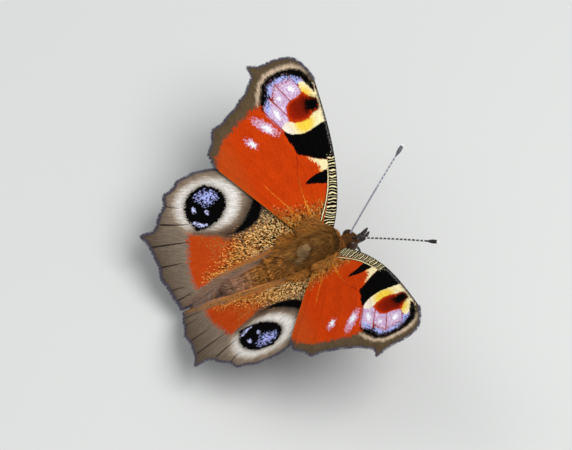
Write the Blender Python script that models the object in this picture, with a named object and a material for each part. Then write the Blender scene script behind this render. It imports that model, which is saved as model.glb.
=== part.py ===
"""Peacock butterfly, life size, standing on its four walking legs with its wings spread.

The head points along -Y, the left side is +X and up is +Z. The origin is on the floor,
below the middle of the whole outline. Sizes are in millimetres until a mesh is made.
"""
import math

import bmesh
import bpy
from mathutils import Vector

MM = 0.001
COLLECTION_NAME = "peacock_butterfly"

# Where the forewing hinge line crosses the body, from the origin on the floor.
HINGE_BACK = -4.52
HINGE_HEIGHT = 10.0
FLOOR = -HINGE_HEIGHT

# Wings. Places on a wing are (outwards, forwards) from its hinge, in the wing's own plane.
WING_THICKNESS = 0.5
WING_ROWS = 15
WING_BULGE = 0.7
VEIN_HEIGHT = 0.13
VEIN_RISE = 0.08
VEIN_FADE = 0.45
BETWEEN_VEINS = (0.2, 0.5, 0.8)
SCALLOP_REACH = 7
SCALLOP_ROUND = 1.6
EDGE_FILL_REACH = 4

# A vein: name, tip on the margin, bow of its path, where its ridge starts along the path,
# and depth of the scallop between its tip and the next one's.
FOREWING = {
    "hinge": (2.44, 0.0, 0.0),
    "dihedral": 23.2,
    "incidence": 13.0,
    "root": ((0.1, 3.3), (0.5, -1.9)),
    "span": 33.0,
    "bow_skew": 0.8,
    "edge_fill": 0.0,
    "veins": (
        ("costa", (26.3, 9.1), 1.9, 0.0, -0.12),
        ("radial_3", (30.2, 7.7), 1.9, 0.05, -0.15),
        ("radial_4", (31.8, 5.9), 2.2, 0.5, -0.05),
        ("radial_5", (32.1, 3.2), 2.6, 0.45, 0.4),
        ("medial_1", (32.7, -1.45), 3.3, 0.42, 0.75),
        ("medial_2", (29.1, -2.5), 3.2, 0.42, 0.25),
        ("medial_3", (27.4, -4.6), 3.9, 0.06, 0.25),
        ("cubital_1", (25.6, -7.35), 2.9, 0.4, 0.35),
        ("cubital_2", (24.2, -10.85), 1.7, 0.28, 0.3),
        ("anal_2", (20.2, -13.0), 0.5, 0.05, 0.0),
        ("inner_edge", (17.6, -12.65), -0.1, 1.0, 0.0),
    ),
}
HINDWING = {
    "hinge": (2.2, 4.0, -2.0),
    "dihedral": 21.5,
    "incidence": 8.5,
    "root": ((0.25, 1.6), (0.35, -1.7)),
    "span": 27.0,
    "bow_skew": 0.9,
    "edge_fill": -0.3,
    "veins": (
        ("front_edge", (18.5, -8.2), 2.8, 1.0, -0.1),
        ("subcostal", (19.3, -12.2), 2.2, 0.05, 0.0),
        ("radial", (18.9, -15.4), 1.7, 0.3, 0.3),
        ("medial_1", (17.3, -18.6), 1.4, 0.35, 0.45),
        ("medial_2", (14.2, -20.4), 1.2, 0.4, 1.1),
        ("medial_3", (11.8, -24.8), 1.3, 0.05, 0.3),
        ("cubital_1", (7.6, -23.7), 1.2, 0.35, 0.25),
        ("cubital_2", (3.2, -23.9), 0.9, 0.3, 0.15),
        ("anal_2", (-0.9, -22.9), 0.5, 0.05, 0.1),
        ("inner_edge", (-3.3, -22.3), 0.3, 1.0, 0.0),
    ),
}

# Body sections: place along the body, height of the centre, half width, half height.
BODY_SIDES = 20
THORAX_SECTIONS = (
    (-3.95, -1.0, 1.2, 1.35),
    (-3.65, -0.9, 1.6, 1.8),
    (-2.8, -0.6, 2.0, 2.4),
    (-1.4, -0.4, 2.2, 2.75),
    (1.0, -0.4, 2.2, 2.8),
    (3.0, -0.75, 2.0, 2.55),
    (4.6, -1.15, 1.8, 2.1),
    (5.4, -1.4, 1.4, 1.6),
)
HEAD_SECTIONS = (
    (-4.25, -0.85, 0.85, 0.95),
    (-4.75, -0.9, 1.0, 1.2),
    (-5.55, -0.95, 1.0, 1.25),
    (-6.25, -1.0, 0.85, 1.05),
    (-6.65, -1.05, 0.5, 0.65),
)
ABDOMEN_START = 5.75
ABDOMEN_END = 17.0
ABDOMEN_HEIGHTS = (-1.4, -4.0)
ABDOMEN_HALF_WIDTH = 1.7
ABDOMEN_HALF_HEIGHT = 1.75
ABDOMEN_SEGMENTS = 8
SEGMENT_GROOVE = 0.07

# Head parts
EYE_CENTRE = (1.1, -5.45, -0.85)
EYE_RADII = (0.95, 1.0, 1.15)
EYE_FLAT = 1.3
FEELER_BASE = (0.7, -5.95, 0.5)
FEELER_REACH_LEFT = (9.35, -13.45, 7.0)
FEELER_REACH_RIGHT = (9.45, -12.35, 4.8)
FEELER_ARCH = 0.25
FEELER_RADIUS = 0.26
CLUB_RADIUS = 0.42
CLUB_SHARE = 0.145
FEELER_POINTS = 22
PALP_BASE = (0.55, -6.95, -1.45)
PALP_TIP = (0.45, -8.75, 0.2)
PALP_RADIUS = 0.36
TONGUE_RADIUS = 0.26
TONGUE_TIP_RADIUS = 0.12
TONGUE_ROUTE = (
    (0.0, -6.15, -2.45),
    (0.0, -6.55, -3.4),
    (0.0, -6.95, -4.5),
    (0.0, -7.1, -5.4),
    (0.0, -6.8, -6.1),
    (0.0, -6.3, -6.5),
    (0.0, -5.85, -7.25),
)

# Legs: hip, knee, ankle, heel on the floor and tip of the foot.
FOOT_LEVEL = FLOOR + 0.17
LEG_RADII = (0.36, 0.33, 0.28, 0.26, 0.24)
LEGS = {
    "midleg": (
        (1.15, 0.7, -3.5),
        (4.4, 0.1, -4.0),
        (7.2, -1.1, -8.3),
        (8.3, -1.6, FOOT_LEVEL),
        (11.0, -2.9, FOOT_LEVEL),
    ),
    "hindleg": (
        (1.1, 3.2, -3.6),
        (4.2, 5.4, -4.1),
        (6.2, 9.2, -8.3),
        (6.9, 10.5, FOOT_LEVEL),
        (8.2, 13.2, FOOT_LEVEL),
    ),
}
FORELEG_ROUTE = (
    (0.85, -2.2, -3.5),
    (1.2, -3.3, -4.75),
    (1.1, -4.6, -4.2),
    (0.95, -5.6, -3.4),
)
FORELEG_RADIUS = 0.3
LEG_BEND_POINTS = 5

COLOURS = {
    "wing_upper": ((0.55, 0.09, 0.02), 0.55),
    "body_hair": ((0.27, 0.13, 0.04), 0.8),
    "head_hair": ((0.13, 0.08, 0.05), 0.8),
    "eye": ((0.05, 0.03, 0.03), 0.15),
    "feeler": ((0.25, 0.22, 0.22), 0.6),
    "tongue": ((0.04, 0.03, 0.03), 0.35),
    "leg": ((0.14, 0.1, 0.07), 0.7),
}


def clear_scene():
    for old in list(bpy.data.objects):
        bpy.data.objects.remove(old, do_unlink=True)


def make_material(name):
    colour, roughness = COLOURS[name]
    material = bpy.data.materials.new(name)
    material.use_nodes = True
    shader = material.node_tree.nodes["Principled BSDF"]
    shader.inputs["Base Color"].default_value = (*colour, 1.0)
    shader.inputs["Roughness"].default_value = roughness
    shader.inputs["Metallic"].default_value = 0.0
    return material


def world_point(point):
    """Millimetres from the hinge line to metres from the origin."""
    x, y, z = point
    return Vector((x, y + HINGE_BACK, z + HINGE_HEIGHT)) * MM


def add_object(name, bm, collection, material):
    bmesh.ops.recalc_face_normals(bm, faces=bm.faces)
    mesh = bpy.data.meshes.new(name)
    bm.to_mesh(mesh)
    bm.free()
    mesh.shade_smooth()
    mesh.set_sharp_from_angle(angle=math.radians(40.0))
    mesh.materials.append(material)
    obj = bpy.data.objects.new(name, mesh)
    collection.objects.link(obj)
    return obj


def wing_axes(wing):
    """The wing's outward, forward and upward directions on the left side."""
    dihedral = math.radians(wing["dihedral"])
    incidence = math.radians(wing["incidence"])
    outward = Vector((math.cos(dihedral), 0.0, math.sin(dihedral)))
    lift = Vector((-math.sin(dihedral), 0.0, math.cos(dihedral)))
    ahead = Vector((0.0, -1.0, 0.0))
    forward = math.cos(incidence) * ahead + math.sin(incidence) * lift
    upward = math.cos(incidence) * lift - math.sin(incidence) * ahead
    return outward, forward, upward


def vein_path(wing, index, along):
    """A point on one vein's path, from the root edge (0) to the margin (1)."""
    front, back = (Vector(corner) for corner in wing["root"])
    veins = wing["veins"]
    start = front.lerp(back, index / (len(veins) - 1))
    tip = Vector(veins[index][1])
    chord = tip - start
    side = Vector((-chord.y, chord.x)).normalized()
    bow = veins[index][2] * math.sin(math.pi * along ** wing["bow_skew"])
    if index + 1 == len(veins):
        bow += wing["edge_fill"] * math.sin(math.pi * along ** EDGE_FILL_REACH)
    return start + chord * along + side * bow


def ridge_height(wing, index, along):
    start = wing["veins"][index][3]
    if along <= start:
        return 0.0
    rise = min(1.0, (along - start) / VEIN_RISE)
    return VEIN_HEIGHT * rise * (1.0 - VEIN_FADE * along)


def bulge(wing, out, ahead):
    """How far the wing rises from the plane between its root and its tip."""
    share = math.hypot(out, ahead) / wing["span"]
    return WING_BULGE * 4.0 * share * (1.0 - share)


def wing_grid(wing):
    """Rows of (outwards, forwards, ridge) over the wing, with columns along its veins."""
    veins = wing["veins"]
    rows = []
    for row in range(WING_ROWS):
        along = row / (WING_ROWS - 1)
        line = []
        for index in range(len(veins)):
            point = vein_path(wing, index, along)
            line.append((point.x, point.y, ridge_height(wing, index, along)))
            if index + 1 == len(veins):
                break
            following = vein_path(wing, index + 1, along)
            chord = following - point
            inward = Vector((chord.y, -chord.x)).normalized()
            depth = veins[index][4] * along ** SCALLOP_REACH
            for share in BETWEEN_VEINS:
                hollow = depth * math.sin(math.pi * share) ** SCALLOP_ROUND
                place = point + chord * share + inward * hollow
                line.append((place.x, place.y, 0.0))
        rows.append(line)
    return rows


def build_wing(name, wing, side, collection, material):
    outward, forward, upward = wing_axes(wing)
    hinge = Vector(wing["hinge"])
    half = WING_THICKNESS / 2
    bm = bmesh.new()
    faces_of_wing = []
    for face_sign in (1, -1):
        layer = []
        for line in wing_grid(wing):
            verts = []
            for out, ahead, ridge in line:
                height = bulge(wing, out, ahead) + face_sign * (half + ridge)
                point = hinge + outward * out + forward * ahead + upward * height
                point.x *= side
                verts.append(bm.verts.new(world_point(point)))
            layer.append(verts)
        faces_of_wing.append(layer)
    top, bottom = faces_of_wing
    row_count = len(top)
    column_count = len(top[0])
    for row in range(row_count - 1):
        for column in range(column_count - 1):
            for layer in (top, bottom):
                a = layer[row][column]
                b = layer[row][column + 1]
                c = layer[row + 1][column + 1]
                d = layer[row + 1][column]
                bm.faces.new((a, b, c))
                bm.faces.new((a, c, d))
    rim = [(0, column) for column in range(column_count)]
    rim += [(row, column_count - 1) for row in range(1, row_count)]
    rim += [(row_count - 1, column) for column in range(column_count - 2, -1, -1)]
    rim += [(row, 0) for row in range(row_count - 2, 0, -1)]
    for here, there in zip(rim, rim[1:] + rim[:1]):
        a = top[here[0]][here[1]]
        b = top[there[0]][there[1]]
        c = bottom[there[0]][there[1]]
        d = bottom[here[0]][here[1]]
        bm.faces.new((a, b, c))
        bm.faces.new((a, c, d))
    return add_object(name, bm, collection, material)


def loft(name, sections, collection, material):
    """A closed body through oval sections set square across the length."""
    bm = bmesh.new()
    rings = []
    for along, centre, half_width, half_height in sections:
        ring = []
        for step in range(BODY_SIDES):
            angle = 2 * math.pi * step / BODY_SIDES
            x = half_width * math.cos(angle)
            z = centre + half_height * math.sin(angle)
            ring.append(bm.verts.new(world_point((x, along, z))))
        rings.append(ring)
    for ring, following in zip(rings, rings[1:]):
        for step in range(BODY_SIDES):
            other = (step + 1) % BODY_SIDES
            bm.faces.new((ring[step], ring[other], following[other], following[step]))
    bm.faces.new(rings[0])
    bm.faces.new(rings[-1])
    return add_object(name, bm, collection, material)


def abdomen_sections():
    """Tapering sections with a shallow groove behind each body segment."""
    sections = []
    steps_per_segment = 3
    count = ABDOMEN_SEGMENTS * steps_per_segment
    for step in range(count + 1):
        share = step / count
        along = ABDOMEN_START + (ABDOMEN_END - ABDOMEN_START) * share
        high, low = ABDOMEN_HEIGHTS
        centre = high + (low - high) * share
        fullness = 0.2 + 0.8 * math.sqrt(max(0.0, 1.0 - abs(share - 0.28) ** 2.6 / 0.72 ** 2.6))
        groove = SEGMENT_GROOVE if step % steps_per_segment == 0 else 0.0
        width = ABDOMEN_HALF_WIDTH * fullness - groove
        height = ABDOMEN_HALF_HEIGHT * fullness - groove
        sections.append((along, centre, width, height))
    return sections


def cut_below(bm, point, normal):
    """Cut away what lies behind a plane and close the cut with one flat face."""
    geometry = bm.verts[:] + bm.edges[:] + bm.faces[:]
    cut = bmesh.ops.bisect_plane(
        bm, geom=geometry, plane_co=point, plane_no=normal, clear_inner=True
    )
    edges = [item for item in cut["geom_cut"] if isinstance(item, bmesh.types.BMEdge)]
    if edges:
        bmesh.ops.holes_fill(bm, edges=edges)


def build_eye(name, side, collection, material):
    bm = bmesh.new()
    bmesh.ops.create_uvsphere(bm, u_segments=16, v_segments=10, radius=1.0)
    x, y, z = EYE_CENTRE
    for vert in bm.verts:
        px = side * (x + vert.co.x * EYE_RADII[0])
        vert.co = world_point((px, y + vert.co.y * EYE_RADII[1], z + vert.co.z * EYE_RADII[2]))
    cut_below(bm, world_point((side * EYE_FLAT, 0.0, 0.0)), (side, 0.0, 0.0))
    return add_object(name, bm, collection, material)


def tube_mesh(name, route, radii):
    """A round tube along a route, as a closed mesh, with its own radius at each point."""
    curve = bpy.data.curves.new(name, "CURVE")
    curve.dimensions = "3D"
    curve.bevel_depth = MM
    curve.bevel_resolution = 2
    curve.use_fill_caps = True
    spline = curve.splines.new("POLY")
    spline.points.add(len(route) - 1)
    for spot, place, radius in zip(spline.points, route, radii):
        spot.co = (*world_point(place), 1.0)
        spot.radius = radius
    guide = bpy.data.objects.new(name, curve)
    bpy.context.scene.collection.objects.link(guide)
    graph = bpy.context.evaluated_depsgraph_get()
    mesh = bpy.data.meshes.new_from_object(guide.evaluated_get(graph))
    bm = bmesh.new()
    bm.from_mesh(mesh)
    bmesh.ops.remove_doubles(bm, verts=bm.verts, dist=0.00001)
    bpy.data.objects.remove(guide, do_unlink=True)
    bpy.data.meshes.remove(mesh)
    return bm


def smooth_route(points, values, steps):
    """Points on a smooth curve through the given ones, with their values between."""
    places = [Vector(point) for point in points]
    route = []
    blended = []
    for index in range(len(places) - 1):
        before = places[max(0, index - 1)]
        start = places[index]
        end = places[index + 1]
        after = places[min(len(places) - 1, index + 2)]
        for step in range(steps):
            t = step / steps
            turn = 0.5 * (
                2 * start
                + (end - before) * t
                + (2 * before - 5 * start + 4 * end - after) * t * t
                + (3 * start - before - 3 * end + after) * t ** 3
            )
            route.append(turn)
            blended.append(values[index] + (values[index + 1] - values[index]) * t)
    route.append(places[-1])
    blended.append(values[-1])
    return route, blended


def mirrored(points, side):
    return [(side * x, y, z) for x, y, z in points]


def build_leg(name, route, side, collection, material):
    """A walking leg: bent at the knee and ankle, its foot flat on the floor."""
    bends = []
    values = []
    corners = [Vector(point) for point in mirrored(route, side)]
    for index, corner in enumerate(corners):
        if index in (0, len(corners) - 1):
            bends.append(corner)
            values.append(LEG_RADII[index])
            continue
        for share in (-1, 0, 1):
            neighbour = corners[index + share]
            bends.append(corner.lerp(neighbour, 0.16 * abs(share)))
            values.append(LEG_RADII[index] * (1.06 if share == 0 else 1.0))
    line, radii = smooth_route(bends, values, 2)
    for point in line:
        point.z = max(point.z, FOOT_LEVEL)
    bm = tube_mesh(name, line, radii)
    cut_below(bm, world_point((0.0, 0.0, FLOOR)), (0.0, 0.0, 1.0))
    return add_object(name, bm, collection, material)


def build_foreleg(name, side, collection, material):
    radii = [FORELEG_RADIUS, FORELEG_RADIUS, FORELEG_RADIUS * 0.9, FORELEG_RADIUS * 0.5]
    line, widths = smooth_route(mirrored(FORELEG_ROUTE, side), radii, LEG_BEND_POINTS)
    bm = tube_mesh(name, line, widths)
    return add_object(name, bm, collection, material)


def build_feeler(name, side, reach, collection, material):
    """An antenna: a slender shaft that arches a little and ends in a club."""
    base = Vector(mirrored([FEELER_BASE], side)[0])
    span = Vector(mirrored([reach], side)[0])
    route = []
    radii = []
    for step in range(FEELER_POINTS):
        share = (step / (FEELER_POINTS - 1)) ** 0.85
        arch = FEELER_ARCH * math.sin(math.pi * share)
        route.append(base + span * share + Vector((0.0, 0.0, arch)))
        into_club = max(0.0, (share - 1.0 + CLUB_SHARE) / CLUB_SHARE)
        swelling = math.sin(math.pi * min(1.0, into_club * 0.88 + 0.02)) ** 0.7
        radius = FEELER_RADIUS
        if into_club > 0.0:
            radius = max(FEELER_RADIUS * (1.0 - 0.3 * into_club), CLUB_RADIUS * swelling)
        radii.append(radius)
    bm = tube_mesh(name, route, radii)
    return add_object(name, bm, collection, material)


def build_palp(name, side, collection, material):
    base = Vector(mirrored([PALP_BASE], side)[0])
    tip = Vector(mirrored([PALP_TIP], side)[0])
    bulge = Vector((0.0, -0.35, -0.25))
    route = [base, base.lerp(tip, 0.4) + bulge, base.lerp(tip, 0.75) + bulge * 0.6, tip]
    radii = [PALP_RADIUS * 0.8, PALP_RADIUS, PALP_RADIUS * 0.75, PALP_RADIUS * 0.3]
    line, widths = smooth_route(route, radii, 3)
    bm = tube_mesh(name, line, widths)
    return add_object(name, bm, collection, material)


def build_tongue(name, collection, material):
    count = len(TONGUE_ROUTE)
    radii = []
    for index in range(count):
        share = index / (count - 1)
        radii.append(TONGUE_RADIUS + (TONGUE_TIP_RADIUS - TONGUE_RADIUS) * share ** 3)
    line, widths = smooth_route(TONGUE_ROUTE, radii, 3)
    bm = tube_mesh(name, line, widths)
    return add_object(name, bm, collection, material)


def main():
    clear_scene()
    butterfly = bpy.data.collections.new(COLLECTION_NAME)
    bpy.context.scene.collection.children.link(butterfly)
    paint = {name: make_material(name) for name in COLOURS}
    loft("thorax", THORAX_SECTIONS, butterfly, paint["body_hair"])
    loft("abdomen", abdomen_sections(), butterfly, paint["body_hair"])
    loft("head", HEAD_SECTIONS, butterfly, paint["head_hair"])
    build_tongue("proboscis", butterfly, paint["tongue"])
    reaches = {"left": FEELER_REACH_LEFT, "right": FEELER_REACH_RIGHT}
    for hand, side in (("left", 1), ("right", -1)):
        build_eye("eye_" + hand, side, butterfly, paint["eye"])
        build_feeler("antenna_" + hand, side, reaches[hand], butterfly, paint["feeler"])
        build_palp("palp_" + hand, side, butterfly, paint["head_hair"])
        build_wing("forewing_" + hand, FOREWING, side, butterfly, paint["wing_upper"])
        build_wing("hindwing_" + hand, HINDWING, side, butterfly, paint["wing_upper"])
        build_foreleg("foreleg_" + hand, side, butterfly, paint["leg"])
        for leg, route in LEGS.items():
            build_leg(leg + "_" + hand, route, side, butterfly, paint["leg"])


main()
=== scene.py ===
import math

import bpy
import numpy as np
from mathutils import Matrix, Vector

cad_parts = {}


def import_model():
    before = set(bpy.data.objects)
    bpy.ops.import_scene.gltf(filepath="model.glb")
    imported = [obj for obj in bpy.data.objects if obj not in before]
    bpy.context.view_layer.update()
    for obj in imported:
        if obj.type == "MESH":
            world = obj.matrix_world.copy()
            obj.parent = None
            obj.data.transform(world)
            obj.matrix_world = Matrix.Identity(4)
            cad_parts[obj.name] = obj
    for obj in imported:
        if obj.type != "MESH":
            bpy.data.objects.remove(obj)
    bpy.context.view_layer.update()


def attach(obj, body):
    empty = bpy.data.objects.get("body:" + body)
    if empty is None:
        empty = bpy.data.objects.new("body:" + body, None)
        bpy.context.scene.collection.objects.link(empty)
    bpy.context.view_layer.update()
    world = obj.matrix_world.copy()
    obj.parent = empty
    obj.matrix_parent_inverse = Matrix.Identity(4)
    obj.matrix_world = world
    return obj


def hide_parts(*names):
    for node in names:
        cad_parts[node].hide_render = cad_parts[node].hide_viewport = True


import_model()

RANDOM = np.random.default_rng(7)

# Places are in millimetres from the middle of the forewing hinge line, as in the solid model:
# x to the left, y to the back, z up. The origin of the frame is on the floor.
MM = 0.001
HINGE_BACK = -4.52
HINGE_HEIGHT = 10.0

# Wings, as in the solid model: places on a wing are (outwards, forwards) from its hinge.
WING_BULGE = 0.7
VEIN_RISE = 0.08
VEIN_FADE = 0.45
SCALLOP_REACH = 7
SCALLOP_ROUND = 1.6
EDGE_FILL_REACH = 4
FOREWING = {
    "hinge": (2.44, 0.0, 0.0),
    "dihedral": 23.2,
    "incidence": 13.0,
    "root": ((0.1, 3.3), (0.5, -1.9)),
    "span": 33.0,
    "bow_skew": 0.8,
    "edge_fill": 0.0,
    "veins": (
        ("costa", (26.3, 9.1), 1.9, 0.0, -0.12),
        ("radial_3", (30.2, 7.7), 1.9, 0.05, -0.15),
        ("radial_4", (31.8, 5.9), 2.2, 0.5, -0.05),
        ("radial_5", (32.1, 3.2), 2.6, 0.45, 0.4),
        ("medial_1", (32.7, -1.45), 3.3, 0.42, 0.75),
        ("medial_2", (29.1, -2.5), 3.2, 0.42, 0.25),
        ("medial_3", (27.4, -4.6), 3.9, 0.06, 0.25),
        ("cubital_1", (25.6, -7.35), 2.9, 0.4, 0.35),
        ("cubital_2", (24.2, -10.85), 1.7, 0.28, 0.3),
        ("anal_2", (20.2, -13.0), 0.5, 0.05, 0.0),
        ("inner_edge", (17.6, -12.65), -0.1, 1.0, 0.0),
    ),
}
HINDWING = {
    "hinge": (2.2, 4.0, -2.0),
    "dihedral": 21.5,
    "incidence": 8.5,
    "root": ((0.25, 1.6), (0.35, -1.7)),
    "span": 27.0,
    "bow_skew": 0.9,
    "edge_fill": -0.3,
    "veins": (
        ("front_edge", (18.5, -8.2), 2.8, 1.0, -0.1),
        ("subcostal", (19.3, -12.2), 2.2, 0.05, 0.0),
        ("radial", (18.9, -15.4), 1.7, 0.3, 0.3),
        ("medial_1", (17.3, -18.6), 1.4, 0.35, 0.45),
        ("medial_2", (14.2, -20.4), 1.2, 0.4, 1.1),
        ("medial_3", (11.8, -24.8), 1.3, 0.05, 0.3),
        ("cubital_1", (7.6, -23.7), 1.2, 0.35, 0.25),
        ("cubital_2", (3.2, -23.9), 0.9, 0.3, 0.15),
        ("anal_2", (-0.9, -22.9), 0.5, 0.05, 0.1),
        ("inner_edge", (-3.3, -22.3), 0.3, 1.0, 0.0),
    ),
}

# The skin of a wing
SKIN_ROWS = 150
SKIN_STEP = 0.2
SKIN_HALF = 0.09
RIM_HALF = 0.03
SKIN_INSET = 0.15
ROOT_REACH = 0.015
RIDGE_HEIGHT = 0.085
RIDGE_WIDTH = 0.13
FOLD_DEPTH = 0.05
FOLD_GAP = 2.5
RIM_REACH = 0.8
LOWER_RIDGE = 0.6
RIM_STRIP = 0.002

# Colours, linear
RED = (0.62, 0.052, 0.002)
RED_DEEP = (0.5, 0.036, 0.002)
ORANGE = (0.7, 0.13, 0.006)
AMBER = (0.93, 0.64, 0.06)
CREAM = (0.93, 0.8, 0.45)
PALE = (0.9, 0.8, 0.66)
WHITE = (0.93, 0.94, 0.98)
LILAC = (0.58, 0.35, 0.57)
BLUE = (0.4, 0.45, 0.85)
MAROON = (0.19, 0.009, 0.001)
BLOOD = (0.36, 0.014, 0.002)
BLACK = (0.0012, 0.001, 0.001)
GOLD = (0.46, 0.165, 0.022)
STRAW = (0.62, 0.36, 0.1)
BORDER = (0.138, 0.093, 0.047)
BORDER_DARK = (0.08, 0.054, 0.03)
BEIGE = (0.62, 0.47, 0.33)
SLATE = (0.075, 0.066, 0.09)


def world(points):
    """Millimetres in the body's frame to metres in the shared frame."""
    return (np.asarray(points) + (0.0, HINGE_BACK, HINGE_HEIGHT)) * MM


def unit(vectors):
    return vectors / np.maximum(np.linalg.norm(vectors, axis=-1, keepdims=True), 1e-9)


def grade(value, width):
    """Zero where the value is zero or less, one where it is the width or more."""
    return np.clip(value / width, 0, 1)


def hump(distance, width):
    """One where the distance is zero, and less on both sides of it."""
    return np.exp(-((distance / width) ** 2))


def mixed(first, second, share):
    share = np.asarray(share)[..., None]
    return np.array(first) * (1 - share) + np.array(second) * share


def grid(*parts):
    """Places from their coordinates, each of which may be a number, a row, a column or a full grid."""
    return np.stack(np.broadcast_arrays(*parts), -1)


def full_turn(sides):
    return np.linspace(0, 2 * math.pi, sides + 1)


def curve(a, b, c, d, t):
    """A place on the smooth curve from b to c, with a before them and d after them."""
    return 0.5 * (2 * b + (c - a) * t + (2 * a - 5 * b + 4 * c - d) * t**2 + (3 * b - a - 3 * c + d) * t**3)


def sided(kind, side):
    return kind + ("_left" if side > 0 else "_right")


# Shapes of the markings


def rounded(corners, steps=5):
    """A closed outline through the corners, without sharp turns."""
    points = np.array(corners, float)
    around = [np.roll(points, step, 0) for step in (1, 0, -1, -2)]
    return np.stack([curve(*around, t) for t in np.arange(steps) / steps], 1).reshape(-1, 2)


def to_segments(place, starts, ends):
    """For each place, the distance to the nearest segment, its number and the share along it."""
    best = np.full(len(place), 1e9)
    which = np.zeros(len(place), int)
    where = np.zeros(len(place))
    for number, (a, b) in enumerate(zip(starts, ends)):
        along = b - a
        share = np.clip(((place - a) @ along) / max(along @ along, 1e-12), 0, 1)
        distance = np.linalg.norm(place - a - share[:, None] * along, axis=1)
        nearer = distance < best
        best[nearer], which[nearer], where[nearer] = distance[nearer], number, share[nearer]
    return best, which, where


def inside(place, corners, smooth=True):
    """How deep each place lies inside a closed outline, negative outside."""
    outline = rounded(corners) if smooth else np.array(corners, float)
    after = np.roll(outline, -1, 0)
    distance = to_segments(place, outline, after)[0]
    odd = np.zeros(len(place), bool)
    x, y = place[:, 0], place[:, 1]
    for (ax, ay), (bx, by) in zip(outline, after):
        if ay != by:
            odd ^= ((ay > y) != (by > y)) & (x < (bx - ax) * (y - ay) / (by - ay) + ax)
    return np.where(odd, distance, -distance)


def band(place, path):
    """How deep each place lies inside a stroke of varying half width."""
    path = np.array(path, float)
    distance, which, where = to_segments(place, path[:-1, :2], path[1:, :2])
    half = path[which, 2] + (path[which + 1, 2] - path[which, 2]) * where
    return half - distance


def spot(place, centre, radii, turn=0.0):
    """How deep each place lies inside an ellipse, about."""
    c, s = math.cos(math.radians(turn)), math.sin(math.radians(turn))
    d = place - np.array(centre)
    across = np.stack([d[:, 0] * c + d[:, 1] * s, d[:, 1] * c - d[:, 0] * s], 1)
    return (1 - np.linalg.norm(across / np.array(radii), axis=1)) * min(radii)


# Markings of the forewing
FORE_BORDER = (
    (23.5, 9.9), (26.2, 8.1), (27.9, 7.2), (28.9, 5.9), (29.25, 4.2), (29.0, 1.6), (28.2, 0.5),
    (27.2, -0.1), (25.9, -0.7), (25.1, -1.7), (24.7, -3.2), (23.7, -5.6), (22.5, -7.9), (21.5, -9.5),
    (20.2, -10.7), (18.9, -11.9), (16.6, -12.6), (17.5, -16.0), (38.0, -16.0), (38.0, 11.0),
)
FORE_CRESCENT = (
    (24.3, 8.45, 0.2), (25.6, 8.2, 0.38), (26.9, 7.75, 0.52), (28.15, 6.95, 0.62), (28.95, 5.8, 0.5),
    (29.3, 4.4, 0.4), (29.25, 2.9, 0.42), (28.95, 1.4, 0.48), (28.2, 0.4, 0.5), (27.2, -0.1, 0.5),
    (26.0, -0.55, 0.5), (24.9, -0.95, 0.34), (24.0, -1.2, 0.12),
)
FORE_BEIGE = (
    (28.0, 8.1, 0.2), (29.1, 7.3, 0.42), (29.85, 6.0, 0.45), (30.15, 4.4, 0.42), (30.1, 2.6, 0.42),
    (29.7, 1.0, 0.42), (28.6, -0.4, 0.36), (27.0, -1.2, 0.3), (25.4, -1.9, 0.15),
)
FORE_LILAC = (
    (19.6, 0.9), (20.0, 2.0), (21.0, 2.45), (22.3, 2.6), (23.3, 3.0), (24.0, 3.9), (24.2, 5.2), (24.7, 6.1),
    (25.6, 6.4), (26.6, 7.2), (28.0, 7.2), (29.1, 5.8), (29.4, 4.0), (29.1, 1.8), (28.3, 0.4), (27.0, -0.3),
    (25.6, -0.8), (24.4, -1.2), (23.2, -0.95), (22.0, -0.55), (20.7, 0.25),
)
FORE_BLUE = (
    ((27.2, 6.15), (1.4, 0.6), -32.0), ((28.4, 3.2), (0.52, 1.05), 0.0), ((27.6, 0.95), (1.0, 0.5), 8.0),
    ((24.6, -0.35), (1.2, 0.45), 8.0),
)
FORE_WHITE = (
    ((26.0, 4.7), (0.7, 0.4), -40.0), ((25.15, 2.1), (0.45, 0.28), -10.0),
    ((22.5, 0.85), (0.95, 0.33), -12.0),
)
FORE_BAND = (
    (18.55, 8.8), (18.35, 7.6), (18.0, 6.2), (17.72, 5.0), (17.7, 4.0), (17.95, 2.9), (18.35, 1.9),
    (19.0, 1.25), (19.9, 0.85), (20.6, 1.5), (20.6, 2.4), (20.1, 3.2), (19.9, 4.2), (19.9, 5.2),
    (20.2, 6.2), (20.7, 7.0), (20.9, 7.9), (22.0, 8.3), (24.3, 8.2), (24.6, 8.9), (22.0, 9.3), (19.0, 9.2),
)
FORE_BAND_OUTER = (
    (22.9, 8.4), (23.5, 7.4), (24.3, 6.7), (25.2, 6.2), (26.2, 6.2), (26.8, 6.6), (26.3, 7.3), (25.4, 7.8),
    (24.2, 8.4),
)
FORE_AMBER = (((19.5, 4.9), (1.7, 1.75), 0.0), ((24.6, 6.8), (1.3, 0.7), -35.0))
FORE_DARK = ((22.3, 6.0), (1.9, 2.4))
FORE_CORE = (
    (20.0, 4.4), (20.0, 5.6), (20.5, 6.5), (21.2, 7.0), (23.5, 7.1), (24.4, 6.6), (24.75, 6.0), (24.3, 5.2),
    (24.1, 4.2), (23.5, 3.3), (22.6, 2.75), (21.4, 2.6), (20.5, 3.1),
)
FORE_PUPIL = (
    (20.95, 6.6), (21.0, 7.5), (21.4, 8.25), (22.3, 8.5), (23.1, 8.2), (23.4, 7.3), (23.3, 6.5),
    (22.8, 6.0), (22.0, 5.9), (21.3, 6.15),
)
FORE_PATCH = (
    (15.0, 1.8), (14.4, 2.2), (13.6, 3.5), (12.9, 4.5), (12.15, 6.0), (11.85, 6.8), (11.75, 7.6),
    (12.4, 8.6), (18.9, 9.6), (18.55, 8.6), (18.35, 7.6), (18.0, 6.2), (17.72, 5.0), (17.7, 4.0),
    (17.95, 2.9), (18.35, 1.9), (19.1, 1.2), (18.2, 1.3), (16.6, 1.6),
)
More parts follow.
